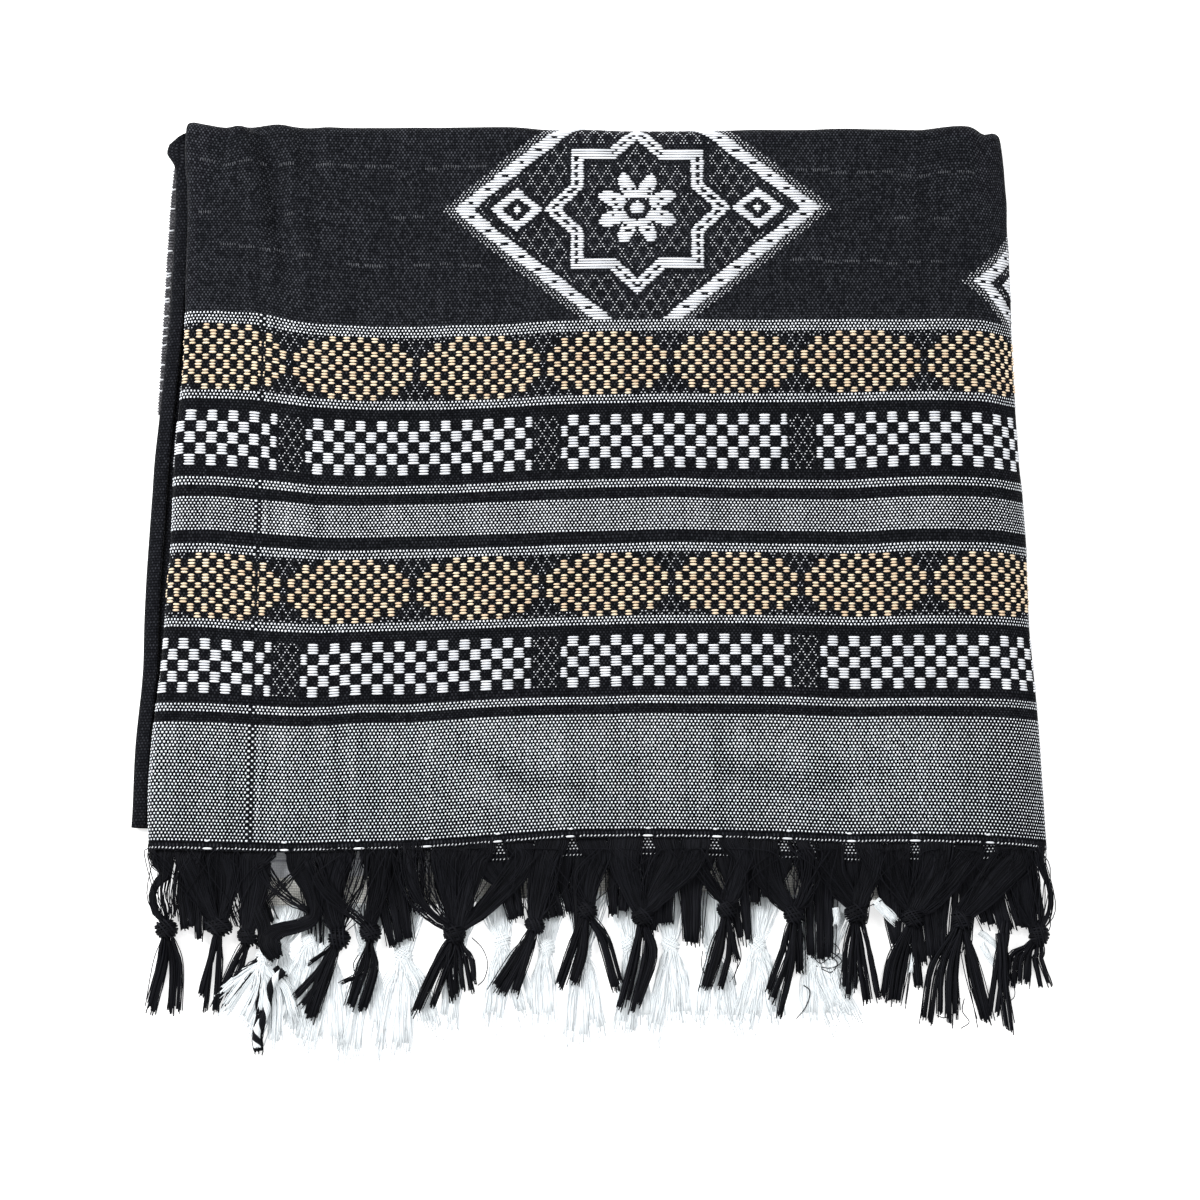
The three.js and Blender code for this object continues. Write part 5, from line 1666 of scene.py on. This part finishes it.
def mixed_black():
    """The black ends of the mixed tassel."""
    centre = (MIXED_LOW + MIXED_HIGH) / 2
    start = hem_wave(centre)
    x, y, wide = np.array([(centre, start + 2, 16), (centre, start - 2.5, 15.5), *MIXED_WAY]).T
    z = net_height(y) - 0.6
    z[-len(MIXED_RISE):] += MIXED_RISE
    high = np.interp(np.linspace(0, 1, len(x)), [0, 0.3, 0.5, 1], [0.8, 1.5, 2.8, 2.4])
    parts = rope(
        np.column_stack([x, y, z]), wide, high, 32, YARN, rng, rings=30, ragged=0.8, loose=0.25,
        base=1.2,
    )
    parts += rope(
        MIXED_SECOND, (7, 7, 6.4, 5), (1.6, 2.2, 2.4, 2.4), 14, YARN, rng, rings=11, base=1.2,
    )
    for points, wide in MIXED_ENDS:
        parts += rope(
            points, (wide, wide, wide), (1.8, 1.8, 1.4), max(4, int(wide * 2.6)), 0.27, rng,
            base=0.9, rings=12, loose=0.35, ragged=1.2,
        )
    return [*parts, twisted(BLACK_ANGLES)]


def mixed_white():
    """Its white cord from the pale ply, the knot and the brushes below."""
    start = float(hem_wave(MIXED_ROOT)) - WHITE_OUT
    way = [(MIXED_ROOT, start + 1.5, 1.0), (MIXED_ROOT, -33, 1.6), (-150, -43, 3.0),
           (-156, -53, 4.4)]
    parts = rope(
        way, (16, 12, 7, 5), (1, 1.8, 3, 3.4), 24, WHITE_YARN, rng, base=0.1, rings=11,
        ragged=0.01, loose=0.4,
    )
    for bend, stop, wide in MIXED_BRUSHES:
        parts += brush(
            [(*MIXED_KNOT, 4.4), (-158.5, -56.5, 4.0), (*bend, 3.2), (*stop, 2.0)],
            (3.4, 4, wide * 0.9, wide), (2.6, 2.6, 2.2, 1.3), rng, 1.2, 0.28, 2.3, each=2.4,
            part=0.5, strays=2, rings=12, ragged=1.8, loose=0.35,
        )
    parts += knot(
        *MIXED_KNOT, 4.2, math.radians(240), (3.9, 3.7), rng, 0.36, floor=0.8, plump=0.6,
    )
    return [*parts, twisted(WHITE_ANGLES)]


rng = np.random.default_rng(43)
mixed_black_piece = joined("mixed_tassel_black", mixed_black(), black_yarn)
mixed_white_piece = joined("mixed_tassel_white", mixed_white(), white_yarn)

# ---- What stands for what -------------------------------------------------------------------

BLACK_NODES = [f"tassel_{k:02d}" for k in range(1, 16)]
WHITE_NODES = [f"white_tassel_{k:02d}" for k in range(1, 15)]
SLOTS = {
    "border_cloth": [front, second, *front_extras, second_weft],
    "black_cloth": [back, *plies],
    "selvedge": [selvedge, selvedge_picks, selvedge_loops],
    "white_warp_cloth": [white_end],
    "black_yarn": [net, tails, second_fringe, mixed_black_piece],
    "white_yarn": [white_fringe, mixed_white_piece],
}
for slot_name, pieces in SLOTS.items():
    for piece in pieces:
        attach(piece, "root")

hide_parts("front_panel")
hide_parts("back_panel")
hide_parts("folded_layers")
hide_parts("second_end")
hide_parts("selvedge_ply")
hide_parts("white_end")
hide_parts("fringe_net")
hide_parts(*BLACK_NODES)
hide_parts("second_fringe")
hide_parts(*WHITE_NODES)
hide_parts("mixed_tassel")

for piece, (start, stop, *_) in zip(plies, PLIES):
    (stop - start) * MM

# ---- Floor, light and camera ----------------------------------------------------------------

scene = bpy.context.scene
paint = Paint("Floor paint", roughness=0.9, specular=0.1)
speckle = paint.noise(90.0)
paint.shader.inputs["Emission Color"].default_value = (1, 1, 1, 1)
paint.shader.inputs["Emission Strength"].default_value = 0.52
floor_paint = paint.finish(
    paint.mix(paint.ramp(speckle, 0.3, 0.7), (0.86, 0.86, 0.86), (0.89, 0.89, 0.89)))
FLOOR_REACH = 6000.0
corners = FLOOR_REACH * np.array([[-1, -1, 0], [1, -1, 0], [1, 1, 0], [-1, 1, 0]], float)
floor = build("floor", corners, np.array([[0, 1, 2, 3]]), material=floor_paint, smooth=False)

world = bpy.data.worlds.new("Studio")
scene.world = world
world.use_nodes = True
sky = world.node_tree.nodes["Background"]
sky.inputs["Color"].default_value = (1, 1, 1, 1)
sky.inputs["Strength"].default_value = 0.42

LIGHT_TARGET = (0, 130, 0)


def lamp(name, place, size, power):
    light = bpy.data.lights.new(name, "AREA")
    light.shape = "SQUARE"
    light.size = size
    light.energy = power
    piece = bpy.data.objects.new(name, light)
    scene.collection.objects.link(piece)
    piece.location = metres(place)
    aim = metres(LIGHT_TARGET) - metres(place)
    piece.rotation_mode = "QUATERNION"
    piece.rotation_quaternion = Vector(aim).to_track_quat("-Z", "Y")


lamp("Key", (-1200, 650, 1100), 0.8, 34)
lamp("Fill", (800, 500, 1250), 1.2, 11)
lamp("Front", (-200, -1300, 1000), 1.2, 6)

CAMERA_TARGET = (0.0, 118.0, 8.0)
CAMERA_DISTANCE = 1440.0
CAMERA_ELEVATION = math.radians(76)
camera_data = bpy.data.cameras.new("Camera")
camera_data.lens = 90
camera_data.sensor_width = 36
camera = bpy.data.objects.new("Camera", camera_data)
scene.collection.objects.link(camera)
scene.camera = camera
back_off = np.array([0, -math.cos(CAMERA_ELEVATION), math.sin(CAMERA_ELEVATION)])
camera.location = metres(np.array(CAMERA_TARGET) + back_off * CAMERA_DISTANCE)
camera.rotation_euler = (math.pi / 2 - CAMERA_ELEVATION, 0, 0)
camera_data.clip_start, camera_data.clip_end = 0.05, 50

scene.view_settings.view_transform = "Standard"
scene.view_settings.look = "None"
